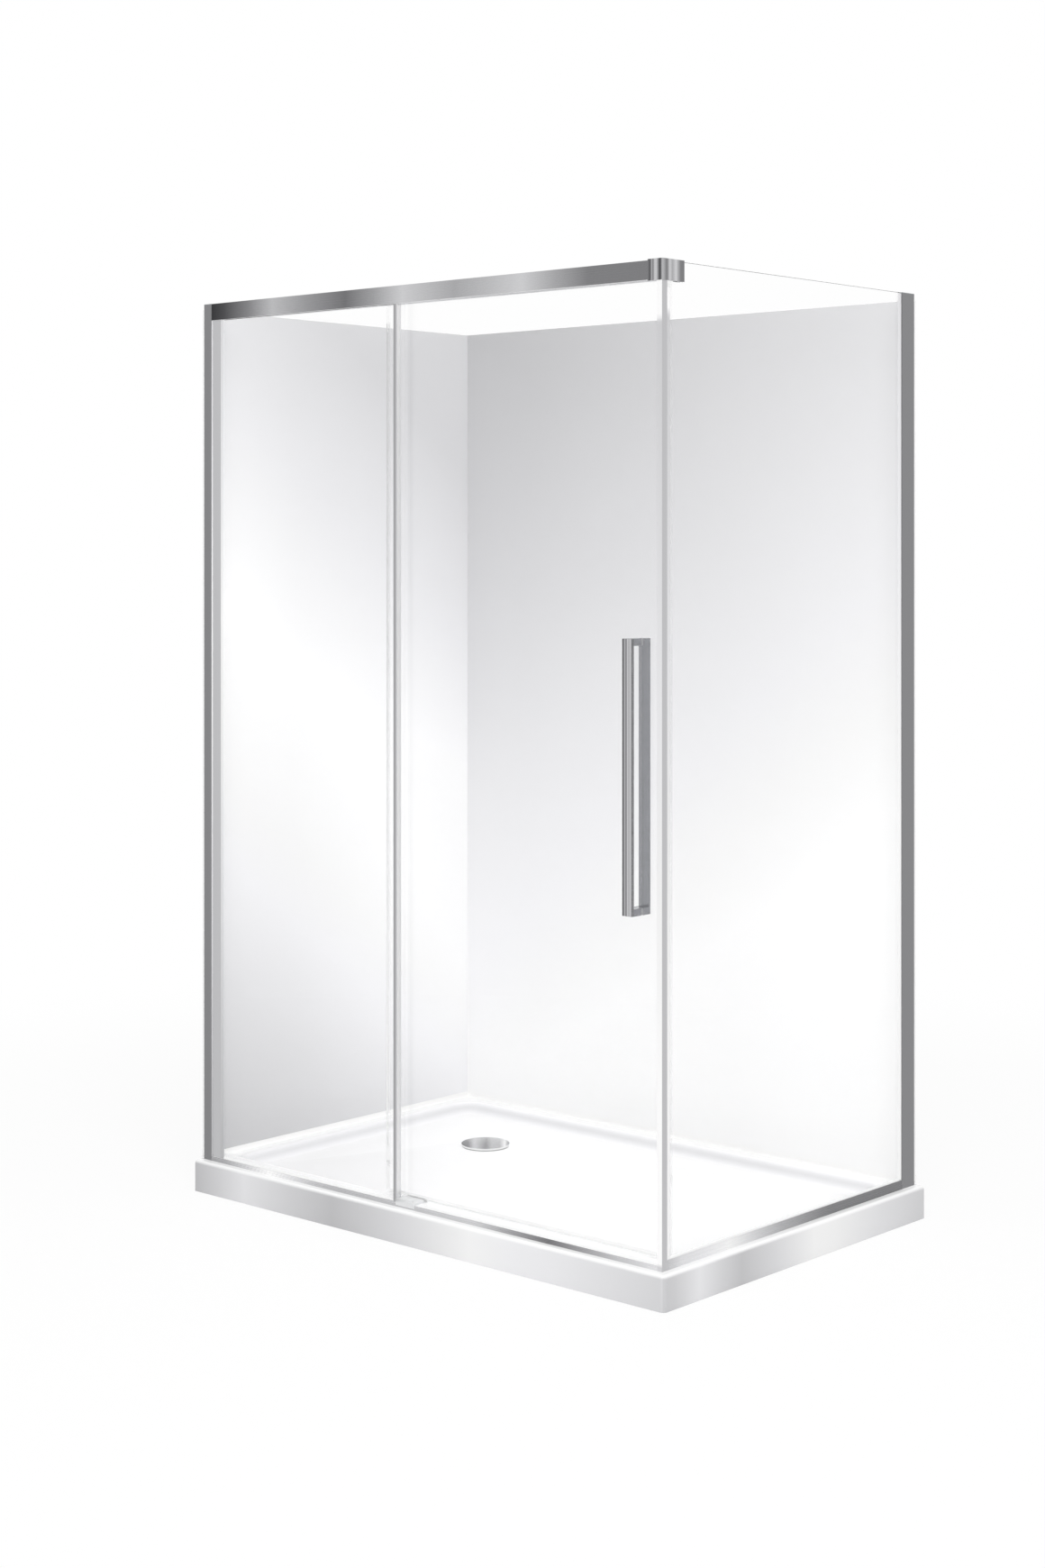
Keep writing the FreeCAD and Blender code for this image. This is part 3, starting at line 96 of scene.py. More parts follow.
def newMaterial(name, surface, detail=None):
    # surface holds the shader's own sockets; detail adds whatever varies over the piece,
    # and returns another shader's output where the piece isn't the plain shader alone
    material = bpy.data.materials.new(name)
    material.use_nodes = True
    tree = material.node_tree
    tree.nodes.clear()
    shader = addNode(tree, "ShaderNodeBsdfPrincipled", surface)
    finished = detail(tree, shader) if detail else None
    if finished is None:
        finished = shader.outputs["BSDF"]
    addNode(tree, "ShaderNodeOutputMaterial", {"Surface": finished})
    return material


def rising(tree, direction, first, last, low=0.0, high=1.0):
    # goes from low to high while the place along direction goes from first to last, in mm
    place = addNode(tree, "ShaderNodeTexCoord").outputs["Object"]
    along = addNode(tree, "ShaderNodeVectorMath", {0: place, 1: direction}, operation="DOT_PRODUCT")
    inputs = {"Value": along.outputs["Value"], "From Min": first * mm, "From Max": last * mm}
    share = addNode(tree, "ShaderNodeMapRange", {**inputs, "To Min": low, "To Max": high})
    return share.outputs["Result"]


def softBands(tree, direction, stops, halfway=True):
    # stops are (place in mm along direction, sRGB grey); halfway stops keep the fades
    # even to the eye, where the ramp has room for them
    most = 32
    full = [stops[0]]
    for (a, levelA), (b, levelB) in zip(stops, stops[1:]):
        if halfway and 2 * len(stops) - 1 <= most:
            full.append(((a + b) / 2, round((levelA + levelB) / 2)))
        full.append((b, levelB))
    first, last = full[0][0], full[-1][0]
    ramp = addNode(tree, "ShaderNodeValToRGB", {"Fac": rising(tree, direction, first, last)})
    elements = ramp.color_ramp.elements
    while len(elements) < len(full):
        elements.new(0.5)
    for element, (place, level) in zip(elements, full):
        element.position = (place - first) / (last - first)
        element.color = paint(grey(level))
    return ramp.outputs["Color"]


def facing(tree, axis, low=0.3, high=0.7):
    # 1 where the surface looks along axis, either way, and 0 where it doesn't
    normal = addNode(tree, "ShaderNodeTexCoord").outputs["Normal"]
    part = addNode(tree, "ShaderNodeVectorMath", {0: normal, 1: axis}, operation="DOT_PRODUCT")
    size = addNode(tree, "ShaderNodeMath", {0: part.outputs["Value"]}, operation="ABSOLUTE")
    soft = addNode(
        tree,
        "ShaderNodeMapRange",
        {"Value": size.outputs[0], "From Min": low, "From Max": high},
        interpolation_type="SMOOTHSTEP",
    )
    return soft.outputs["Result"]


def pastPlane(tree, axis, limit, operation="GREATER_THAN"):
    # 1 on that side of a plane across the axis, limit in mm
    where = addNode(tree, "ShaderNodeTexCoord").outputs["Object"]
    place = addNode(tree, "ShaderNodeSeparateXYZ", {0: where})
    test = addNode(
        tree, "ShaderNodeMath", {0: place.outputs[axis], 1: limit * mm}, operation=operation
    )
    return test.outputs[0]


def layered(tree, colour, *coats):
    # each coat is (share, colour) and covers what is under it where its share is 1
    for share, coat in coats:
        sockets = {"Factor": share, 6: colour, 7: coat}
        colour = addNode(tree, "ShaderNodeMix", sockets, data_type="RGBA").outputs[2]
    return colour


def timesFactor(tree, colour, factor):
    scaled = addNode(tree, "ShaderNodeVectorMath", {0: colour, "Scale": factor}, operation="SCALE")
    return scaled.outputs["Vector"]


def grain(tree, shader, scale, rough, bump=0.0):
    # scale is the size of the marks in mm along X, Y and Z; rough is (least, most)
    where = addNode(tree, "ShaderNodeTexCoord").outputs["Object"]
    place = addNode(
        tree, "ShaderNodeMapping", {"Vector": where, "Scale": [1 / (s * mm) for s in scale]}
    )
    noise = addNode(
        tree, "ShaderNodeTexNoise", {"Vector": place.outputs["Vector"], "Scale": 1.0, "Detail": 3.0}
    ).outputs["Fac"]
    least, most = rough
    spread = addNode(
        tree,
        "ShaderNodeMapRange",
        {"Value": noise, "From Min": 0.3, "From Max": 0.7, "To Min": least, "To Max": most},
    )
    tree.links.new(spread.outputs["Result"], shader.inputs["Roughness"])
    if bump:
        relief = addNode(
            tree, "ShaderNodeBump", {"Height": noise, "Strength": 0.4, "Distance": bump * mm}
        )
        tree.links.new(relief.outputs["Normal"], shader.inputs["Normal"])
    return noise


def onlyGrain(scale, rough, bump=0.0):
    def detail(tree, shader):
        grain(tree, shader, scale, rough, bump)

    return detail


def speckled(dark, pale, scale, rough, bump=0.0):
    # the marks go from one colour to the other
    def detail(tree, shader):
        marks = grain(tree, shader, scale, rough, bump)
        tree.links.new(layered(tree, dark, (marks, pale)), shader.inputs["Base Color"])

    return detail


def dress(material, *names):
    for name in names:
        for slot in nodes[name].material_slots:
            slot.material = material
            slot.link = "DATA"


# camera: level, two and a half metres off the near corner, shifted down
camera = {
    "place": (3.6059, -4.1234, 1.4425),
    "turn": 0.7304,
    "focal": 2753.87,  # in pixels of the 1160 x 1740 picture
    "horizon": 611.09,  # its row in that picture
    "rows": 1740,
    "sensor": 36,
    "reach": 60,
}
cameraData = bpy.data.cameras.new("camera")
cameraData.sensor_width = camera["sensor"]
cameraData.lens = camera["focal"] / camera["rows"] * camera["sensor"]
cameraData.shift_y = (camera["horizon"] - camera["rows"] / 2) / camera["rows"]
cameraData.clip_end = camera["reach"]
cameraObject = bpy.data.objects.new("camera", cameraData)
cameraObject.location = camera["place"]
cameraObject.rotation_euler = (math.pi / 2, 0, camera["turn"])
scene.collection.objects.link(cameraObject)
scene.camera = cameraObject
print("camera ready")

# light: white room, a very large soft lamp in front on the right, a small one above
light = {
    "room": 0.5,
    "lamps": {  # place, size in metres, power
        "keyLamp": ((3.3, -3.3, 5.4), 3.6, 276.0),
        "topLamp": ((0.0, 0.0, 4.6), 1.8, 22.0),
    },
    "aim": (0, 0, 0.7),
}
scene.view_settings.view_transform = "Standard"
world = bpy.data.worlds.new("room")
scene.world = world
world.use_nodes = True
roomTree = world.node_tree
roomTree.nodes.clear()


def anyOf(tree, first, *others):
    for other in others:
        larger = addNode(tree, "ShaderNodeMath", {0: first, 1: other}, operation="MAXIMUM")
        first = larger.outputs[0]
    return first


def seenDirectly(tree):
    # 1 for what the camera sees, also by way of metal or glass
    rays = addNode(tree, "ShaderNodeLightPath").outputs
    return anyOf(tree, rays["Is Camera Ray"], rays["Is Glossy Ray"], rays["Is Transmission Ray"])


roomLevel = addNode(
    roomTree,
    "ShaderNodeMapRange",
    {"Value": seenDirectly(roomTree), "To Min": light["room"], "To Max": 1.0},
)
roomLight = addNode(
    roomTree,
    "ShaderNodeBackground",
    {"Color": (1, 1, 1, 1), "Strength": roomLevel.outputs["Result"]},
)
addNode(roomTree, "ShaderNodeOutputWorld", {"Surface": roomLight.outputs[0]})

for name, (place, size, power) in light["lamps"].items():
    lampData = bpy.data.lights.new(name, "AREA")
    lampData.size = size
    lampData.energy = power
    lamp = bpy.data.objects.new(name, lampData)
    lamp.location = place
    aim = Vector(light["aim"]) - Vector(place)
    lamp.rotation_euler = aim.to_track_quat("-Z", "Y").to_euler()
    # only its light shows, never the lamp itself
    lamp.visible_camera = False
    lamp.visible_glossy = False
    lamp.visible_transmission = False
    scene.collection.objects.link(lamp)
print("room lit")

floor = {"half": 14.0, "height": -0.0006, "shadow": 0.1, "shadowReach": (1.1, 3.2)}
floorCorners = [
    (x * floor["half"], y * floor["half"], floor["height"])
    for x, y in ((-1, -1), (1, -1), (1, 1), (-1, 1))
]
floorMesh = bpy.data.meshes.new("floor")
floorMesh.from_pydata(floorCorners, [], [(0, 1, 2, 3)])
floorObject = bpy.data.objects.new("floor", floorMesh)
scene.collection.objects.link(floorObject)


def floorDetail(tree, shader):
    # shows as white paper; near the object it keeps a share of its shaded colour
    place = addNode(tree, "ShaderNodeTexCoord").outputs["Object"]
    away = addNode(tree, "ShaderNodeVectorMath", {0: place}, operation="LENGTH")
    near, far = floor["shadowReach"]
    glowShare = addNode(
        tree,
        "ShaderNodeMapRange",
        {
            "Value": away.outputs["Value"],
            "From Min": near,
            "From Max": far,
            "To Min": 1 - floor["shadow"],
            "To Max": 1.0,
        },
        interpolation_type="SMOOTHSTEP",
    )
    share = addNode(
        tree,
        "ShaderNodeMath",
        {0: seenDirectly(tree), 1: glowShare.outputs["Result"]},
        operation="MULTIPLY",
    )
    glow = addNode(tree, "ShaderNodeEmission", {"Color": (1, 1, 1, 1), "Strength": 1.0})
    sockets = {0: share.outputs[0], 1: shader.outputs["BSDF"], 2: glow.outputs[0]}
    return addNode(tree, "ShaderNodeMixShader", sockets).outputs[0]


floorMesh.materials.append(
    newMaterial("whitePaper", {"Base Color": "#F4F4F4", "Roughness": 0.9}, floorDetail)
)

# shower tray: one closed skin of loops, out over the rim, down into the basin and back under
tray = {
    "x": (-675, 675),
    "y": (-450, 450),
    "top": 70,
    "rimRound": 8,
    "rimSteps": 8,
    "cornerRound": 10,
    "wallCorner": 0.6,  # the three corners that stand against walls
    "leastRound": 2,
    "ledges": (40, 60, 75, 40),  # left, right, front, back
    "basinRound": 60,
    "basinLip": 2,
    "coveWidth": 36,
    "coveDrop": 23,
    "coveSteps": 14,
    "coveLead": 0.15,
    "drain": (-368, 185),
    "drainHole": 43,
    "drainFlat": 150,
    "drainFlatRound": 45,
    "floorDrop": 9,
    "floorSteps": 8,
    "wall": 6,
    "skirtWall": 5,
    "upstand": 20,
    "upstandWall": 3,
    "upstandSunk": 0.5,
    "returnY": -430,
    "returnX": 655,
    "arcSteps": 14,
    "sideSteps": 10,
}


def between(start, end, share):
    return tuple(a + (b - a) * share for a, b in zip(start, end))


def onCircle(centre, radius, turn):
    return (centre[0] + radius * math.cos(turn), centre[1] + radius * math.sin(turn))


def roundedLoop(x0, x1, y0, y1, z, radii):
    # points anticlockwise from above; radii at right front, right back, left back, left front
    corners = ((x1, y0, -1, 1, -90), (x1, y1, -1, -1, 0), (x0, y1, 1, -1, 90), (x0, y0, 1, 1, 180))
    steps = tray["arcSteps"]
    arcs = []
    for (x, y, inX, inY, start), radius in zip(corners, radii):
        centre = (x + inX * radius, y + inY * radius)
        turns = [math.radians(start + 90 * i / steps) for i in range(steps + 1)]
        arcs.append([onCircle(centre, radius, turn) for turn in turns])
    points = []
    for arc, following in zip(arcs, arcs[1:] + arcs[:1]):
        points += arc
        for i in range(1, tray["sideSteps"]):
            points.append(between(arc[-1], following[0], i / tray["sideSteps"]))
    return [(px * mm, py * mm, z * mm) for px, py in points]


def trayLoops():
    x0, x1 = tray["x"]
    y0, y1 = tray["y"]
    top, wall, turn = tray["top"], tray["wall"], tray["rimRound"]
    left, right, front, back = tray["ledges"]
    corner, others = tray["cornerRound"], [tray["wallCorner"]] * 3
    loops = [roundedLoop(x0, x1, y0, y1, 0, [corner] + others)]
    for i in range(tray["rimSteps"] + 1):
        angle = math.radians(90 * i / tray["rimSteps"])
        inset = turn * (1 - math.cos(angle))
        height = top - turn * (1 - math.sin(angle))
        radii = [max(corner - inset, tray["leastRound"])] + others
        loops.append(roundedLoop(x0, x1 - inset, y0 + inset, y1, height, radii))

    def basin(inset, z):
        across = (x0 + left + inset, x1 - right - inset)
        along = (y0 + front + inset, y1 - back - inset)
        return roundedLoop(*across, *along, z, [tray["basinRound"] - inset] * 4)

    loops.append(basin(-tray["basinLip"], top))
    for i in range(tray["coveSteps"] + 1):
        share = i / tray["coveSteps"]
        wave = (1 - math.cos(math.pi * share)) / 2
        ease = tray["coveLead"] * share + (1 - tray["coveLead"]) * wave
        loops.append(basin(tray["coveWidth"] * share, top - tray["coveDrop"] * ease))
    drainX, drainY = tray["drain"]
    half = tray["drainFlat"] / 2
    low = top - tray["coveDrop"] - tray["floorDrop"]
    foot = loops[-1]
    around = (drainX - half, drainX + half, drainY - half, drainY + half)
    flat = roundedLoop(*around, low, [tray["drainFlatRound"]] * 4)
    for i in range(1, tray["floorSteps"]):
        share = i / tray["floorSteps"]
        loops.append([between(p, q, share) for p, q in zip(foot, flat)])
    loops.append(flat)

    def drainCircle(z):
        centre = (drainX * mm, drainY * mm)
        turns = [math.atan2(y - centre[1], x - centre[0]) for x, y, _ in flat]
        return [onCircle(centre, tray["drainHole"] * mm, turn) + (z * mm,) for turn in turns]

    under, skirt, sheet = low - wall, tray["skirtWall"], top - wall
    loops += [drainCircle(low), drainCircle(under), basin(-wall, under), basin(-wall, sheet)]
    inner = (x0 + skirt, x1 - skirt, y0 + skirt, y1 - skirt)
    return loops + [roundedLoop(*inner, z, [tray["leastRound"]] * 4) for z in (sheet, 0)]


def joinRings(bm, rings):
    # a skin from each ring of points to the next; a ring of one point is a pole
    for ring, following in zip(rings, rings[1:]):
        count = max(len(ring), len(following))
        for n in range(count):
            m = (n + 1) % count
            corners = [ring[n % len(ring)], ring[m % len(ring)]]
            corners += [following[m % len(following)], following[n % len(following)]]
            bm.faces.new(list(dict.fromkeys(corners)))


def pieceFrom(bm, name, sharp=35):
    mesh = bpy.data.meshes.new(name)
    bm.to_mesh(mesh)
    bm.free()
    mesh.shade_smooth()
    mesh.set_sharp_from_angle(angle=math.radians(sharp))
    piece = bpy.data.objects.new(name, mesh)
    scene.collection.objects.link(piece)
    return piece


def makeTray():
    bm = bmesh.new()
    loops = [[bm.verts.new(p) for p in loop] for loop in trayLoops()]
    joinRings(bm, loops + loops[:1])
    # the two upstands behind the linings are one L, sunk a little into the rim
    x0, x1 = tray["x"][0], tray["returnX"]
    y0, y1 = tray["returnY"], tray["y"][1]
    wall, top = tray["upstandWall"], tray["top"]
    outline = [(x0, y0), (x0 + wall, y0), (x0 + wall, y1 - wall)]
    outline += [(x1, y1 - wall), (x1, y1), (x0, y1)]
    lower, upper = [
        [bm.verts.new((x * mm, y * mm, z * mm)) for x, y in outline]
        for z in (top - tray["upstandSunk"], top + tray["upstand"])
    ]
    bm.faces.new(lower[::-1])
    bm.faces.new(upper)
    joinRings(bm, [lower, upper])
    bmesh.ops.recalc_face_normals(bm, faces=bm.faces)
    return pieceFrom(bm, "trayMoulding")


trayLook = {
    "frontBands": [(-675, 192), (-510, 231), (-230, 189), (170, 243), (400, 231), (675, 208)],
    "sideBands": [
        (-450, 196), (-415, 202), (-340, 228), (-205, 190), (40, 242), (115, 241), (450, 208),
    ],
    "white": 250,
    # the basin is inside these planes; painted shade darkens its cove, down from the ledge to the
    # foot of the cove
    "basinFront": ("Y", -420),
    "basinRight": ("X", 640, "LESS_THAN"),
    "coveShade": [(46, 250), (55, 228), (59.5, 220), (63.5, 226), (70.5, 250)],
    "upstandFoot": ("Z", 70.5),
    "upstand": 255,
}


def trayDetail(tree, shader):
    # cast acrylic, so the gloss is deep; every face shows soft painted reflections of the studio as
    # bands, and what faces up or down carries a painted highlight near white
    front = softBands(tree, xAxis, trayLook["frontBands"])
    side = softBands(tree, yAxis, trayLook["sideBands"])
    # painted highlight: near white where the surface faces up or down
    level = (facing(tree, zAxis, 0.0, 1.0), grey(trayLook["white"]))
    outside = layered(tree, front, (facing(tree, xAxis), side), level)
    within = addNode(
        tree,
        "ShaderNodeMath",
        {0: pastPlane(tree, *trayLook["basinFront"]), 1: pastPlane(tree, *trayLook["basinRight"])},
        operation="MULTIPLY",
    )
    # painted shade down the cove, darkest halfway
    cove = (within.outputs[0], softBands(tree, zAxis, trayLook["coveShade"]))
    # the upstands stay white out to their ends
    raised = (pastPlane(tree, *trayLook["upstandFoot"]), grey(trayLook["upstand"]))
    tree.links.new(layered(tree, outside, cove, raised), shader.inputs["Base Color"])
    grain(tree, shader, (14, 14, 14), (0.14, 0.2), 0.02)


castAcrylic = newMaterial(
    "castAcrylic", {"IOR": 1.49, "Coat Weight": 0.3, "Coat Roughness": 0.08}, trayDetail
)
trayPiece = makeTray()
trayPiece.data.materials.append(castAcrylic)
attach(trayPiece, "enclosure")
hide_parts("shower_tray")
print("tray made:", len(trayPiece.data.polygons), "faces")

# wall linings: each has a painted sheen along one slanting direction
lining = {
    "sawn": 252,
    "rear": 244,
    "left": {
        "ends": (yAxis, zAxis),
        "rearPlane": ("X", -669.5, "LESS_THAN"),
        "along": (0, 0.75, 1),
        "bands": [(-135, 196), (465, 238), (765, 247), (1065, 255), (1965, 208), (2300, 208)],
        "even": [(zAxis, 100, 1950, 1.02, 0.965), (yAxis, -150, 440, 1.0, 1.08)],
    },
    "back": {
        "ends": (xAxis, zAxis),
        "rearPlane": ("Y", 444.5),
        "along": (0.78, 0, -1),
        "bands": [(-2480, 190), (-1510, 220), (-913, 239), (-400, 254), (-300, 255), (500, 255)],
        "even": [(zAxis, 100, 1950, 1.055, 0.905), ((-1, 0, 0), 450, 665, 1.0, 1.05)],
    },
}


def liningDetail(side):
    def detail(tree, shader):
        colour = softBands(tree, side["along"], side["bands"])
        # painted light: a little brighter towards the corner and the foot, where walls shade each
        # other, and a little darker towards the top
        for step in side["even"]:
            colour = timesFactor(tree, colour, rising(tree, *step))
        kept = addNode(
            tree, "ShaderNodeVectorMath", {0: colour, 1: (1, 1, 1)}, operation="MINIMUM"
        )
        sawnEnds = [(facing(tree, axis), grey(lining["sawn"])) for axis in side["ends"]]
        # the side that is glued to the wall is plain
        rear = (pastPlane(tree, *side["rearPlane"]), grey(lining["rear"]))
        colour = layered(tree, kept.outputs["Vector"], *sawnEnds, rear)
        tree.links.new(colour, shader.inputs["Base Color"])
        grain(tree, shader, (40, 40, 60), (0.2, 0.26))

    return detail


# extruded acrylic sheet, polished: one slow diagonal painted sheen from edge to edge
leftSheet = newMaterial("acrylicSheetLeft", {"IOR": 1.49}, liningDetail(lining["left"]))
backSheet = newMaterial("acrylicSheetBack", {"IOR": 1.49}, liningDetail(lining["back"]))
dress(leftSheet, "wall_lining_left")
dress(backSheet, "wall_lining_back")

# toughened float glass with polished edges, water clear
pane = {
    "Base Color": "#FEFEFE",
    "Roughness": 0.0,
    "IOR": 1.45,
    "Transmission Weight": 1.0,
}


def paneDetail(axis):
    def detail(tree, shader):
        # lamps and the light between walls go straight through the panes, and the thin
        # edges and hole walls stay clear, with no dark line of inner reflection
        rays = addNode(tree, "ShaderNodeLightPath").outputs
        edges = addNode(
            tree, "ShaderNodeMath", {0: 1.0, 1: facing(tree, axis)}, operation="SUBTRACT"
        )
        either = anyOf(tree, rays["Is Shadow Ray"], rays["Is Diffuse Ray"], edges.outputs[0])
        clear = addNode(tree, "ShaderNodeBsdfTransparent", {"Color": (1, 1, 1, 1)})
        sockets = {0: either, 1: shader.outputs["BSDF"], 2: clear.outputs[0]}
        return addNode(tree, "ShaderNodeMixShader", sockets).outputs[0]

    return detail


frontGlass = newMaterial("floatGlassFront", pane, paneDetail(yAxis))
sideGlass = newMaterial("floatGlassSide", pane, paneDetail(xAxis))
dress(frontGlass, "fixed_glass_front", "door_glass")
dress(sideGlass, "side_glass")
# extruded clear PVC: a thin strip is nearly invisible
clearVinyl = newMaterial(
    "clearVinyl", {"Base Color": "#F7F8F8", "Roughness": 0.25, "IOR": 1.5, "Alpha": 0.035}
)
dress(
    clearVinyl,
    "front_glass_gaskets",
    "side_glass_gaskets",
    "meeting_fin_seal",
    "strike_strip",
    "door_leading_seal",
    "door_trailing_seal",
    "door_bottom_seal",
)
# thicker mouldings of the same vinyl look milky
milkyVinyl = newMaterial(
    "milkyVinyl", {"Base Color": "#FAFAFA", "Roughness": 0.35, "IOR": 1.5, "Alpha": 0.93}
)
dress(milkyVinyl, "setting_blocks", "sill_infill", "handle_washers")
# moulded polycarbonate, cloudy all through
cloudyMarks = onlyGrain((6, 6, 6), (0.28, 0.4))
cloudyPlastic = newMaterial(
    "cloudyPolycarbonate", {"Base Color": "#F4F5F6", "IOR": 1.58, "Alpha": 0.85}, cloudyMarks
)
dress(cloudyPlastic, "bottom_guide")
print("panes and seals dressed")

# metals: the greys are painted reflections of the studio on each face
metal = {
    "rail": [
        (-642, 54), (-600, 77), (-440, 188), (-210, 116), (-40, 205), (110, 170), (295, 206),
        (470, 129), (645, 127),
    ],
    "railLevel": 253,  # painted reflection of the white floor on its underside
    "sill": [
        (-640, 170), (-590, 180), (-450, 252), (-300, 196), (-230, 188), (165, 208), (365, 124),
        (540, 196), (640, 225),
    ],
    "sillInner": ("Y", -428.5),
    "sideSill": [(-430, 186), (-370, 220), (-220, 241), (-50, 178), (120, 130), (400, 124)],
    "sideSillInner": ("X", 653.5, "LESS_THAN"),
    "sillLevel": 240,
    # painted light: the sills' inner sides are near white
    "coated": 252,
    "postFront": [
        (70, 212), (79, 212), (81, 255), (430, 255), (1118, 235), (1878, 208), (1890, 255),
        (1960, 255),
    ],
    "postSide": 194,
    "meetingFront": [(-67.5, 156), (-62, 172), (-57.5, 190)],
    "meetingSide": [(-428.3, 226), (-426, 238), (-423.4, 246), (-420.7, 240), (-415.3, 230)],
    "lengthways": 1500,  # the die's marks are as long as this, and this wide
    "across": 0.9,
    "dieLines": (0.985, 1.015),
}
upright = (metal["across"], metal["across"], metal["lengthways"])


def polishedDetail(direction, bands, level, inner=None):
    def detail(tree, shader):
        # painted reflection: what faces up or down shows the white floor or ceiling; the inner side
        # is painted near white as well
        bright = softBands(tree, direction, bands)
        bright = layered(tree, bright, (facing(tree, zAxis), grey(level)))
        if inner:
            # painted light: the inner side is near white and not metallic, so it shows light behind
            # the glass instead of shade
            coated = pastPlane(tree, *inner)
            bright = layered(tree, bright, (coated, grey(metal["coated"])))
            bare = addNode(tree, "ShaderNodeMath", {0: 1.0, 1: coated}, operation="SUBTRACT")
            tree.links.new(bare.outputs[0], shader.inputs["Metallic"])
        tree.links.new(bright, shader.inputs["Base Color"])
        marks = [metal["lengthways"] if part else metal["across"] for part in direction]
        grain(tree, shader, marks, (0.24, 0.3))

    return detail


def facedDetail(front, side, flat, marks, rough, lines=None):
    # painted light and reflection: a tone for what faces the front, one for the side, and one for
    # what faces up or down; a tone is a grey, or a direction and its bands
    def toneOf(tree, tone):
        return grey(tone) if isinstance(tone, int) else softBands(tree, *tone)

    def detail(tree, shader):
        speckle = grain(tree, shader, marks, rough)
        colour = layered(tree, toneOf(tree, front), (facing(tree, xAxis), toneOf(tree, side)))
        if flat:
            colour = layered(tree, colour, (facing(tree, zAxis), grey(flat)))
        if lines:
            least, most = lines
            spread = addNode(
                tree, "ShaderNodeMapRange", {"Value": speckle, "To Min": least, "To Max": most}
            )
            colour = timesFactor(tree, colour, spread.outputs["Result"])
        tree.links.new(colour, shader.inputs["Base Color"])

    return detail


def newMetal(name, detail, *names):
    material = newMaterial(name, {"Metallic": 1.0}, detail)
    dress(material, *names)
    return material


# bright-dipped aluminium extrusion: long soft painted reflections that change along its length
railDetail = polishedDetail(xAxis, metal["rail"], metal["railLevel"])
railMetal = newMetal("brightAluminiumRail", railDetail, "top_rail")
sillDetail = polishedDetail(xAxis, metal["sill"], metal["sillLevel"], metal["sillInner"])
newMetal("brightAluminiumSill", sillDetail, "front_sill")
sideSillDetail = polishedDetail(
    yAxis, metal["sideSill"], metal["sillLevel"], metal["sideSillInner"]
)
newMetal("brightAluminiumSideSill", sideSillDetail, "side_sill")

# satin anodised aluminium: even painted greys of light and reflection, one for each way a face
# looks, with faint upright lines from the extrusion die
satins = {  # front, side, up or down, and the nodes
    "WallChannel": (136, 236, 150, ["wall_channel_left"]),
    "SideChannel": (138, 136, 150, ["wall_channel_side"]),
    "Stile": (194, 243, 210, ["adjusting_stile", "rail_wall_tongue"]),
}
for part, (front, side, flat, names) in satins.items():
    satin = facedDetail(front, side, flat, upright, (0.3, 0.36), metal["dieLines"])
    newMetal("satinAluminium" + part, satin, *names)
# painted reflection: the post's narrow front face goes from white at its foot to grey at its top
postFront = (zAxis, metal["postFront"])
postDetail = facedDetail(postFront, metal["postSide"], None, upright, (0.3, 0.36))
newMetal("satinAluminiumPost", postDetail, "corner_post")
# rounded profile, with painted shade at its left edge and a painted highlight at the turned edge
meetingTones = ((xAxis, metal["meetingFront"]), (yAxis, metal["meetingSide"]))
meetingDetail = facedDetail(*meetingTones, None, upright, (0.26, 0.31))
newMetal("satinAluminiumMeeting", meetingDetail, "meeting_stile")

streaks = {
    "bracketFront": [
        (621, 130), (627, 85), (631, 178), (634, 125), (638, 197), (643, 198), (651, 68),
        (658, 174),
    ],
    "bracketSide": [
        (-430, 182), (-419, 121), (-410, 206), (-402, 170), (-391, 208), (-377, 128), (-368, 123),
    ],
    "bracketFlat": 196,
    "handleFront": [
        (555, 84), (558, 90), (562, 181), (566, 128), (569, 198), (573, 172), (576, 200),
        (580, 148),
    ],
    "handleSide": [(-430, 150), (-427, 121), (-423, 146), (-370, 147)],
    "handleFlat": 150,
    "marks": (3, 3, 90),
    "rough": (0.16, 0.22),
}


def streakDetail(part):
    # painted reflections: a plated bar mirrors the room as thin upright streaks
    tones = [(xAxis, streaks[part + "Front"]), (yAxis, streaks[part + "Side"])]
    return facedDetail(*tones, streaks[part + "Flat"], streaks["marks"], streaks["rough"])


newMetal("chromedCasting", streakDetail("bracket"), "corner_bracket")
newMetal("chromedHandle", streakDetail("handle"), "handle_outer_bar")
# plain chrome plate has no streaks, and its greys are painted reflections: behind the glass it
# shows the grey inside, elsewhere the pale room, and the flange on its white floor is painted
# mostly white
plated = {  # colour and the nodes
    "chromedHandleInside": (
        "#939498", ["handle_outer_posts", "handle_inner_bar", "handle_inner_posts"]
    ),
    "chromePlate": ("#C4C5C8", ["corner_clamp_plate", "roller_cap_nuts"]),
    "polishedFlange": ("#F6F6F6", ["waste_flange"]),
}
for name, (colour, names) in plated.items():
    faintMarks = onlyGrain((5, 5, 5), (0.1, 0.16))
    dress(newMaterial(name, {"Base Color": colour, "Metallic": 1.0}, faintMarks), *names)
# turned stainless, a little dull
stainless = newMetal(
    "turnedStainless",
    speckled("#A3A4A6", "#BFC0C2", (1.2, 1.2, 1.2), (0.25, 0.4)),
    "foot_studs",
    "channel_lock_screws",
    "corner_clamp_screws",
    "rail_end_screws",
    "rail_stop_screws",
    "guide_screws",
    "handle_studs",
    "roller_axles",
    "roller_bearing_leading",
    "roller_bearing_trailing",
)
# slim metal at the front throws no shade on the linings, as in soft studio light
slimMetal = ["top_rail", "adjusting_stile", "wall_channel_left", "wall_channel_side"]
slimMetal += ["rail_wall_tongue", "corner_post"]
for name in slimMetal:
    nodes[name].visible_shadow = False
    nodes[name].visible_diffuse = False
print("metals dressed")

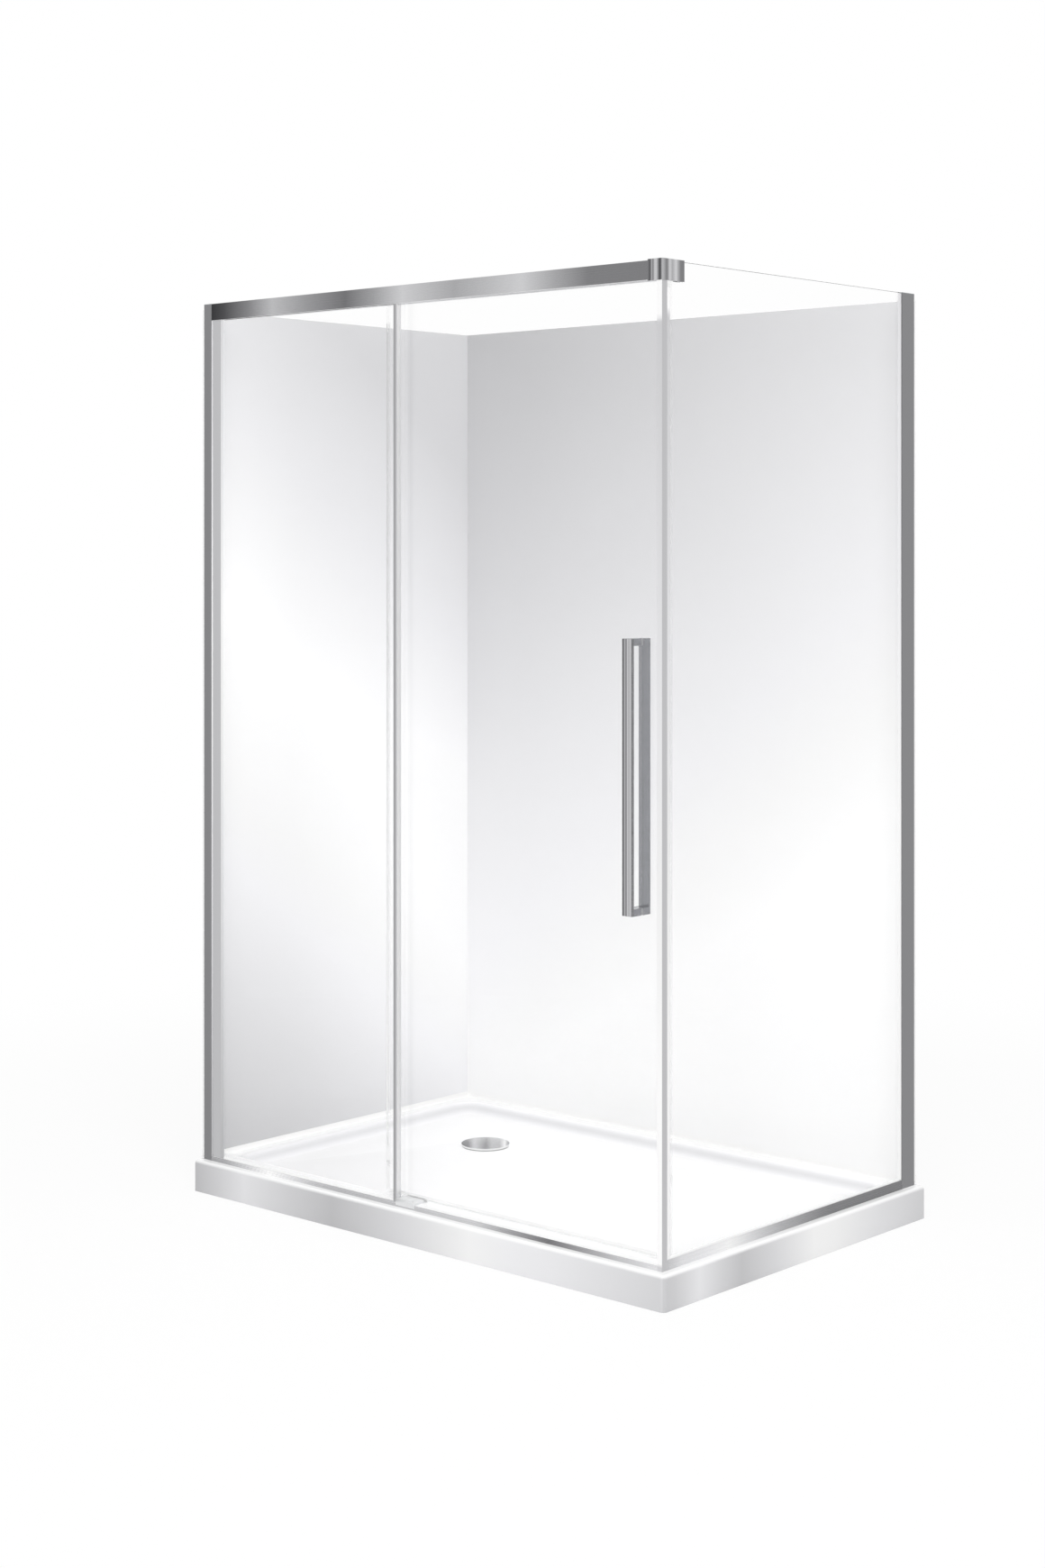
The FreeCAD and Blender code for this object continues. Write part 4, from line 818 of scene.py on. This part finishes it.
# plastics: nylon is faintly yellow, ABS grey has a fine spark texture, rubber is dusty;
# the plywood shows a long figure on its faces
plastics = {  # IOR, dark and pale, size of the marks, roughness, relief, and the nodes
    "mouldedNylon": (
        1.53, "#DEDDD6", "#ECEBE4", (2, 2, 2), (0.35, 0.5), 0.03,
        ["roller_washers", "roller_bushes", "roller_wheel_leading", "roller_wheel_trailing"],
    ),
    "mouldedAbs": (
        1.52, "#7C7F82", "#8A8D90", (0.8, 0.8, 0.8), (0.45, 0.6), 0.03,
        ["foot_sockets", "waste_body", "hair_strainer", "channel_top_caps", "rail_stops"],
    ),
    "mouldedRubber": (
        1.5, "#1B1B1C", "#262627", (1.5, 1.5, 1.5), (0.6, 0.8), 0.03,
        ["foot_pads", "waste_seals", "rail_stop_bumpers"],
    ),
    "greyRubber": (
        1.5, "#707274", "#7E8082", (1.5, 1.5, 1.5), (0.55, 0.75), 0.03, ["corner_pads"]
    ),
    "birchPly": (1.5, "#B08A5B", "#D3B284", (260, 9, 9), (0.5, 0.7), 0.1, ["tray_base_board"]),
}
for name, (ior, dark, pale, marks, rough, relief, names) in plastics.items():
    texture = speckled(dark, pale, marks, rough, relief)
    dress(newMaterial(name, {"IOR": ior}, texture), *names)
print("plastics dressed")

# glazing lips, the wiper at the channel, and the strip that closes the rail's slot: pale strips put
# over the shaded slots beside the glass
lip = {  # painted tones: greys by height, near the light and shade seen beside each lip
    "left": [(100, 193), (600, 227), (1000, 245), (1300, 253), (1958, 221)],
    "side": [(100, 255), (880, 255), (1985, 223)],
    "sill": [(80, 254), (95, 254)],
    "post": [(120, 255), (450, 255), (1200, 232), (1890, 204), (1907, 254), (1950, 255)],
    "alpha": 0.92,
}


def lipVinyl(part):
    def detail(tree, shader):
        tree.links.new(softBands(tree, zAxis, lip[part]), shader.inputs["Base Color"])
        grain(tree, shader, (4, 4, 60), (0.36, 0.44))

    name = "lipVinyl" + part.title()
    return newMaterial(name, {"IOR": 1.5, "Alpha": lip["alpha"]}, detail), "clear_vinyl"


leftVinyl, sideVinyl = lipVinyl("left"), lipVinyl("side")
sillVinyl, postVinyl = lipVinyl("sill"), lipVinyl("post")
strips = {  # outline across in mm; axis, from, to; material and its slot
    "channelWiper": (
        [(-641.9, -428.9), (-639.9, -427.8), (-641.9, -427.8)],
        ("Z", 80.4, 1959.8),
        leftVinyl,
    ),
    "glazingLipLeft": (
        [(-612.9, -427.4), (-605.4, -426.0), (-604.6, -425.1), (-612.9, -425.1)],
        ("Z", 80.4, 1959.8),
        leftVinyl,
    ),
    "glazingLipSide": (
        [(651.6, 383.4), (652.2, 384.2), (652.9, 394.8), (651.6, 394.8)],
        ("Z", 90.4, 1996.0),
        sideVinyl,
    ),
    "glazingLipPost": (
        [(651.6, -414.8), (652.9, -414.8), (652.3, -403.4), (651.6, -402.6)],
        ("Z", 94.2, 1946.0),
        postVinyl,
    ),
    "glazingLipSill": (
        [(-427.4, 80.1), (-425.1, 80.1), (-425.1, 84.4), (-425.8, 83.8)],
        ("X", -604.4, -67.8),
        sillVinyl,
    ),
    "glazingLipSideSill": (
        [(651.6, 90.1), (653.4, 90.1), (652.4, 93.4), (651.6, 94.0)],
        ("Y", -414.6, 383.2),
        sillVinyl,
    ),
    "railInfill": (
        [(-427.45, 1960.1), (-416.55, 1960.1), (-416.55, 1961.5), (-427.45, 1961.5)],
        ("X", -57.0, 641.6),
        (railMetal, "rail_metal"),
    ),
}


def makeStrip(name, outline, span, finish):
    axis, *ends = span
    material, slotName = finish
    bm = bmesh.new()
    rings = []
    for end in ends:
        ring = [{"X": (end, a, b), "Y": (a, end, b), "Z": (a, b, end)}[axis] for a, b in outline]
        rings.append([bm.verts.new([v * mm for v in place]) for place in ring])
    for ring in rings:
        bm.faces.new(ring)
    joinRings(bm, rings)
    bmesh.ops.recalc_face_normals(bm, faces=bm.faces)
    strip = pieceFrom(bm, name)
    strip.data.materials.append(material)
    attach(strip, "enclosure")


for name, facts in strips.items():
    makeStrip(name, *facts)
print("strips made")

# sleeves round the handle's studs in the glass, and pads between its posts and the glass
sleeve = {
    "x": 567.75,
    "y": (-399.9, -394.1),
    "z": (745, 1266),
    "radii": (3.1, 4.9),
    "sides": 40,
    "pads": ((-400.95, -400.05), (-393.95, -393.05)),
    "padSize": (24.1, 13.6),
}


def makeSleeves():
    bm = bmesh.new()
    y0, y1 = sleeve["y"]
    inside, outside = sleeve["radii"]
    turns = [2 * math.pi * n / sleeve["sides"] for n in range(sleeve["sides"])]
    for z in sleeve["z"]:
        rings = []
        for radius, y in ((inside, y0), (outside, y0), (outside, y1), (inside, y1)):
            around = [onCircle((sleeve["x"], z), radius, turn) for turn in turns]
            rings.append([bm.verts.new((a * mm, y * mm, b * mm)) for a, b in around])
        joinRings(bm, rings + rings[:1])
        for low, high in sleeve["pads"]:
            wide, tall = sleeve["padSize"]
            size = Vector((wide, high - low, tall)) * mm
            centre = Vector((sleeve["x"], (low + high) / 2, z)) * mm
            pad = bmesh.ops.create_cube(bm, size=1)
            bmesh.ops.scale(bm, vec=size, verts=pad["verts"])
            bmesh.ops.translate(bm, vec=centre, verts=pad["verts"])
    bmesh.ops.recalc_face_normals(bm, faces=bm.faces)
    return pieceFrom(bm, "handleSleeves")


sleevePiece = makeSleeves()
# moulded soft PVC, filled grey, with the same cloudy gloss as the guide
greyVinyl = newMaterial(
    "greyVinyl", {"Base Color": "#B2B3B5", "IOR": 1.5, "Alpha": 0.95}, cloudyMarks
)
sleevePiece.data.materials.append(greyVinyl)
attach(sleevePiece, "door")
print("handle sleeves made")

# turned, bent and cast parts: the CAD mesh with its vertices merged, to shade smooth
rounded = {
    "merge": 0.00001,
    "sharp": 32,
    "names": [
        "foot_pads", "foot_studs", "foot_sockets", "waste_seals", "waste_flange", "waste_body",
        "hair_strainer", "channel_lock_screws", "corner_bracket", "corner_clamp_screws",
        "corner_pads", "rail_end_screws", "rail_stop_screws", "rail_stops", "rail_stop_bumpers",
        "guide_screws", "bottom_guide", "handle_outer_bar", "handle_inner_bar",
        "handle_outer_posts", "handle_inner_posts", "handle_washers", "handle_studs",
        "roller_axles", "roller_washers", "roller_bushes", "roller_cap_nuts",
        "roller_wheel_leading", "roller_wheel_trailing", "roller_bearing_leading",
        "roller_bearing_trailing",
    ],
}


def smoothCopy(name):
    node = nodes[name]
    bm = bmesh.new()
    bm.from_mesh(node.data)
    bmesh.ops.remove_doubles(bm, verts=bm.verts, dist=rounded["merge"])
    first, *rest = name.split("_")
    piece = pieceFrom(bm, first + "".join(word.title() for word in rest), rounded["sharp"])
    piece.data.materials.append(node.material_slots[0].material)
    # flat faces stay flat beside their rounded edges
    weighted = piece.modifiers.new("weighted", "WEIGHTED_NORMAL")
    weighted.keep_sharp = True
    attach(piece, body_of(node)[0])
    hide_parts(name)


for name in rounded["names"]:
    smoothCopy(name)
print("smooth copies made:", len(rounded["names"]))


def newTree(name, sizes):
    tree = bpy.data.node_groups.new(name, "GeometryNodeTree")
    face = tree.interface
    face.new_socket("Geometry", in_out="INPUT", socket_type="NodeSocketGeometry")
    for label, size in sizes.items():
        kind = "NodeSocketInt" if isinstance(size, int) else "NodeSocketFloat"
        face.new_socket(label, in_out="INPUT", socket_type=kind)
    face.new_socket("Geometry", in_out="OUTPUT", socket_type="NodeSocketGeometry")
    return tree, addNode(tree, "NodeGroupInput").outputs


def endTree(tree, shape, material):
    real = addNode(tree, "GeometryNodeRealizeInstances", {"Geometry": shape})
    sockets = {"Geometry": real.outputs["Geometry"], "Material": material}
    dressed = addNode(tree, "GeometryNodeSetMaterial", sockets)
    addNode(tree, "NodeGroupOutput", {"Geometry": dressed.outputs["Geometry"]})


def runTree(holder, tree, sizes):
    # a plain mesh of what the tree makes, and the holder goes
    modifier = holder.modifiers.new(tree.name, "NODES")
    modifier.node_group = tree
    for item in tree.interface.items_tree:
        if item.in_out == "INPUT" and item.name in sizes:
            modifier[item.identifier] = sizes[item.name]
    graph = bpy.context.evaluated_depsgraph_get()
    mesh = bpy.data.meshes.new_from_object(holder.evaluated_get(graph))
    mesh.name = tree.name
    bm = bmesh.new()
    bm.from_mesh(mesh)
    bmesh.ops.remove_doubles(bm, verts=bm.verts, dist=rounded["merge"])
    bmesh.ops.recalc_face_normals(bm, faces=bm.faces)
    material = mesh.materials[0]
    bpy.data.objects.remove(holder)
    bpy.data.meshes.remove(mesh)
    piece = pieceFrom(bm, tree.name)
    piece.data.materials.append(material)
    return piece


def pointHolder(name, points, edges=()):
    mesh = bpy.data.meshes.new(name)
    mesh.from_pydata([tuple(v * mm for v in point) for point in points], edges, [])
    holder = bpy.data.objects.new(name, mesh)
    scene.collection.objects.link(holder)
    return holder


# silicone bead along the foot of both linings
bead = {
    "path": [(-667, -405), (-667, 442), (641, 442)],  # under the lining's face, front to right
    "floor": 70.05,
    "behind": 4.8,  # reaches back to the upstand
    "under": 7.9,  # up to the lining's lower edge
    "reach": 5.5,
    "rise": 11.0,
    "foot": 0.05,  # stands this far off the lining's face
    "hollowSteps": 8,
    "cornerRound": 1.5,
    "cornerSteps": 5,
}
# tooled with a wet finger, so it is smooth with slow waves
silicone = newMaterial(
    "sanitarySilicone",
    {"Base Color": "#F9F9F8", "IOR": 1.43},
    onlyGrain((5, 5, 5), (0.32, 0.45), 0.05),
)


def beadSection():
    # outward and up from the corner under the lining
    reach, steps = bead["reach"], bead["hollowSteps"]
    section = [(-bead["behind"], 0), (reach, 0)]
    for i in range(1, steps + 1):
        turn = math.radians(90 * i / steps)
        outward = reach - (reach - bead["foot"]) * math.sin(turn)
        section.append((outward, bead["rise"] * (1 - math.cos(turn))))
    return section + [(bead["foot"], bead["under"]), (-bead["behind"], bead["under"])]


def makeBead():
    section = beadSection()
    outline = bpy.data.curves.new("beadSection", "CURVE")
    outline.dimensions = "3D"
    spline = outline.splines.new("POLY")
    spline.points.add(len(section) - 1)
    for point, (outward, up) in zip(spline.points, section):
        point.co = (outward * mm, -up * mm, 0, 1)
    spline.use_cyclic_u = True
    sectionHolder = bpy.data.objects.new("beadSection", outline)
    scene.collection.objects.link(sectionHolder)

    sizes = {"Corner Radius": bead["cornerRound"] * mm}
    tree, given = newTree("siliconeBead", sizes)
    path = addNode(tree, "GeometryNodeMeshToCurve", {"Mesh": given["Geometry"]})
    turned = addNode(
        tree,
        "GeometryNodeFilletCurve",
        {
            "Curve": path.outputs["Curve"],
            "Radius": given["Corner Radius"],
            "Count": bead["cornerSteps"],
        },
        mode="POLY",
    )
    level = addNode(
        tree, "GeometryNodeSetCurveNormal", {"Curve": turned.outputs["Curve"]}, mode="Z_UP"
    )
    sectionNode = addNode(tree, "GeometryNodeObjectInfo", {"Object": sectionHolder})
    swept = addNode(
        tree,
        "GeometryNodeCurveToMesh",
        {
            "Curve": level.outputs["Curve"],
            "Profile Curve": sectionNode.outputs["Geometry"],
            "Fill Caps": True,
        },
    )
    endTree(tree, swept.outputs["Mesh"], silicone)
    path = [(x, y, bead["floor"]) for x, y in bead["path"]]
    piece = runTree(pointHolder("beadPath", path, [(0, 1), (1, 2)]), tree, sizes)
    bpy.data.objects.remove(sectionHolder)
    return piece


beadPiece = makeBead()
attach(beadPiece, "enclosure")
print("silicone bead made:", len(beadPiece.data.polygons), "faces")

# threads on the levelling studs, between nut and socket
thread = {
    "studs": [(x, y) for x in (-540, -10, 520) for y in (-280, 315)],
    "low": 9.3,
    "high": 16.8,
    "radius": 4.95,
    "pitch": 1.5,
    "ridge": 0.55,
    "sides": 28,
}


def makeThreads():
    height = thread["high"] - thread["low"]
    sizes = {
        "Turns": height / thread["pitch"],
        "Stud Radius": thread["radius"] * mm,
        "Height": height * mm,
        "Ridge": thread["ridge"] * mm,
        "Sides": thread["sides"],
    }
    tree, given = newTree("footThreads", sizes)
    helix = addNode(
        tree,
        "GeometryNodeCurveSpiral",
        {
            "Resolution": given["Sides"],
            "Rotations": given["Turns"],
            "Start Radius": given["Stud Radius"],
            "End Radius": given["Stud Radius"],
            "Height": given["Height"],
        },
    )
    ridge = addNode(
        tree, "GeometryNodeCurvePrimitiveCircle", {"Resolution": 4, "Radius": given["Ridge"]}
    )
    level = addNode(
        tree, "GeometryNodeSetCurveNormal", {"Curve": helix.outputs["Curve"]}, mode="Z_UP"
    )
    swept = addNode(
        tree,
        "GeometryNodeCurveToMesh",
        {
            "Curve": level.outputs["Curve"],
            "Profile Curve": ridge.outputs["Curve"],
            "Fill Caps": True,
        },
    )
    spread = addNode(
        tree,
        "GeometryNodeInstanceOnPoints",
        {"Points": given["Geometry"], "Instance": swept.outputs["Mesh"]},
    )
    endTree(tree, spread.outputs["Instances"], stainless)
    places = [(x, y, thread["low"]) for x, y in thread["studs"]]
    return runTree(pointHolder("studPlaces", places), tree, sizes)


threadPiece = makeThreads()
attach(threadPiece, "enclosure")
print("stud threads made:", len(threadPiece.data.polygons), "faces")

# waste cover: a shallow dome, turned about its stem
cover = {
    "centre": (-368, 185),
    "radius": 57,
    "rimZ": 42.6,
    "thick": 2.0,
    "dome": 4.0,
    "rim": 1.2,
    "rimSteps": 8,
    "rings": 18,
    "turns": 96,
    "stem": 4.0,
    "stemFoot": 18.6,
    "stemBevel": 0.5,
    # painted reflections across the dome, from its left edge to its right as the room's light falls
    "bands": [
        (-57, 96), (-42, 98), (-26, 200), (-10, 165), (2, 130), (15, 184), (34, 183), (46, 244),
        (53, 156),
    ],
    # painted light: the rim and the underside are near white
    "edge": 253,
}


def coverSection():
    # radius and height, from the top of the dome out over the rim and in to the stem's foot
    rim, thick, stem, bevel = cover["rim"], cover["thick"], cover["stem"], cover["stemBevel"]
    reach = cover["radius"] - rim
    shares = [i / cover["rings"] for i in range(cover["rings"] + 1)]

    def domeHeight(share):
        return cover["rimZ"] + cover["dome"] * math.cos(math.pi / 2 * share)

    section = [(reach * share, domeHeight(share) + thick) for share in shares]
    for i in range(1, cover["rimSteps"]):
        turn = math.pi * i / cover["rimSteps"]
        height = cover["rimZ"] + thick / 2 * (1 + math.cos(turn))
        section.append((reach + rim * math.sin(turn), height))
    section += [(stem + (reach - stem) * share, domeHeight(share)) for share in shares[::-1]]
    foot = cover["stemFoot"]
    return section + [(stem, foot + bevel), (stem - bevel, foot), (0, foot)]


def makeCover():
    bm = bmesh.new()
    rings = []
    for radius, height in coverSection():
        count = cover["turns"] if radius else 1
        turns = [2 * math.pi * n / count for n in range(count)]
        places = [onCircle(cover["centre"], radius, turn) for turn in turns]
        rings.append([bm.verts.new((x * mm, y * mm, height * mm)) for x, y in places])
    joinRings(bm, rings)
    bmesh.ops.recalc_face_normals(bm, faces=bm.faces)
    return pieceFrom(bm, "wasteDome")


def coverDetail(tree, shader):
    # painted reflections: the room shows as straight bands across the dome, lined up with the
    # camera's turn, over a painted near-white rim and underside; the linished marks vary only the
    # roughness
    across = (math.cos(camera["turn"]), math.sin(camera["turn"]), 0)
    middle = sum(a * b for a, b in zip(cover["centre"], across))
    bands = [(middle + place, level) for place, level in cover["bands"]]
    top = (facing(tree, zAxis), softBands(tree, across, bands, halfway=False))
    tree.links.new(layered(tree, grey(cover["edge"]), top), shader.inputs["Base Color"])
    grain(tree, shader, (60, 0.8, 4), (0.16, 0.26))


wasteDome = makeCover()
wasteDome.data.materials.append(newMaterial("linishedChrome", {"Metallic": 1.0}, coverDetail))
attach(wasteDome, "waste_cover_set")
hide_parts("waste_cover")
# the gap under its rim stays light
wasteDome.visible_shadow = False
wasteDome.visible_diffuse = False
wasteDome.visible_glossy = False
print("waste cover made")
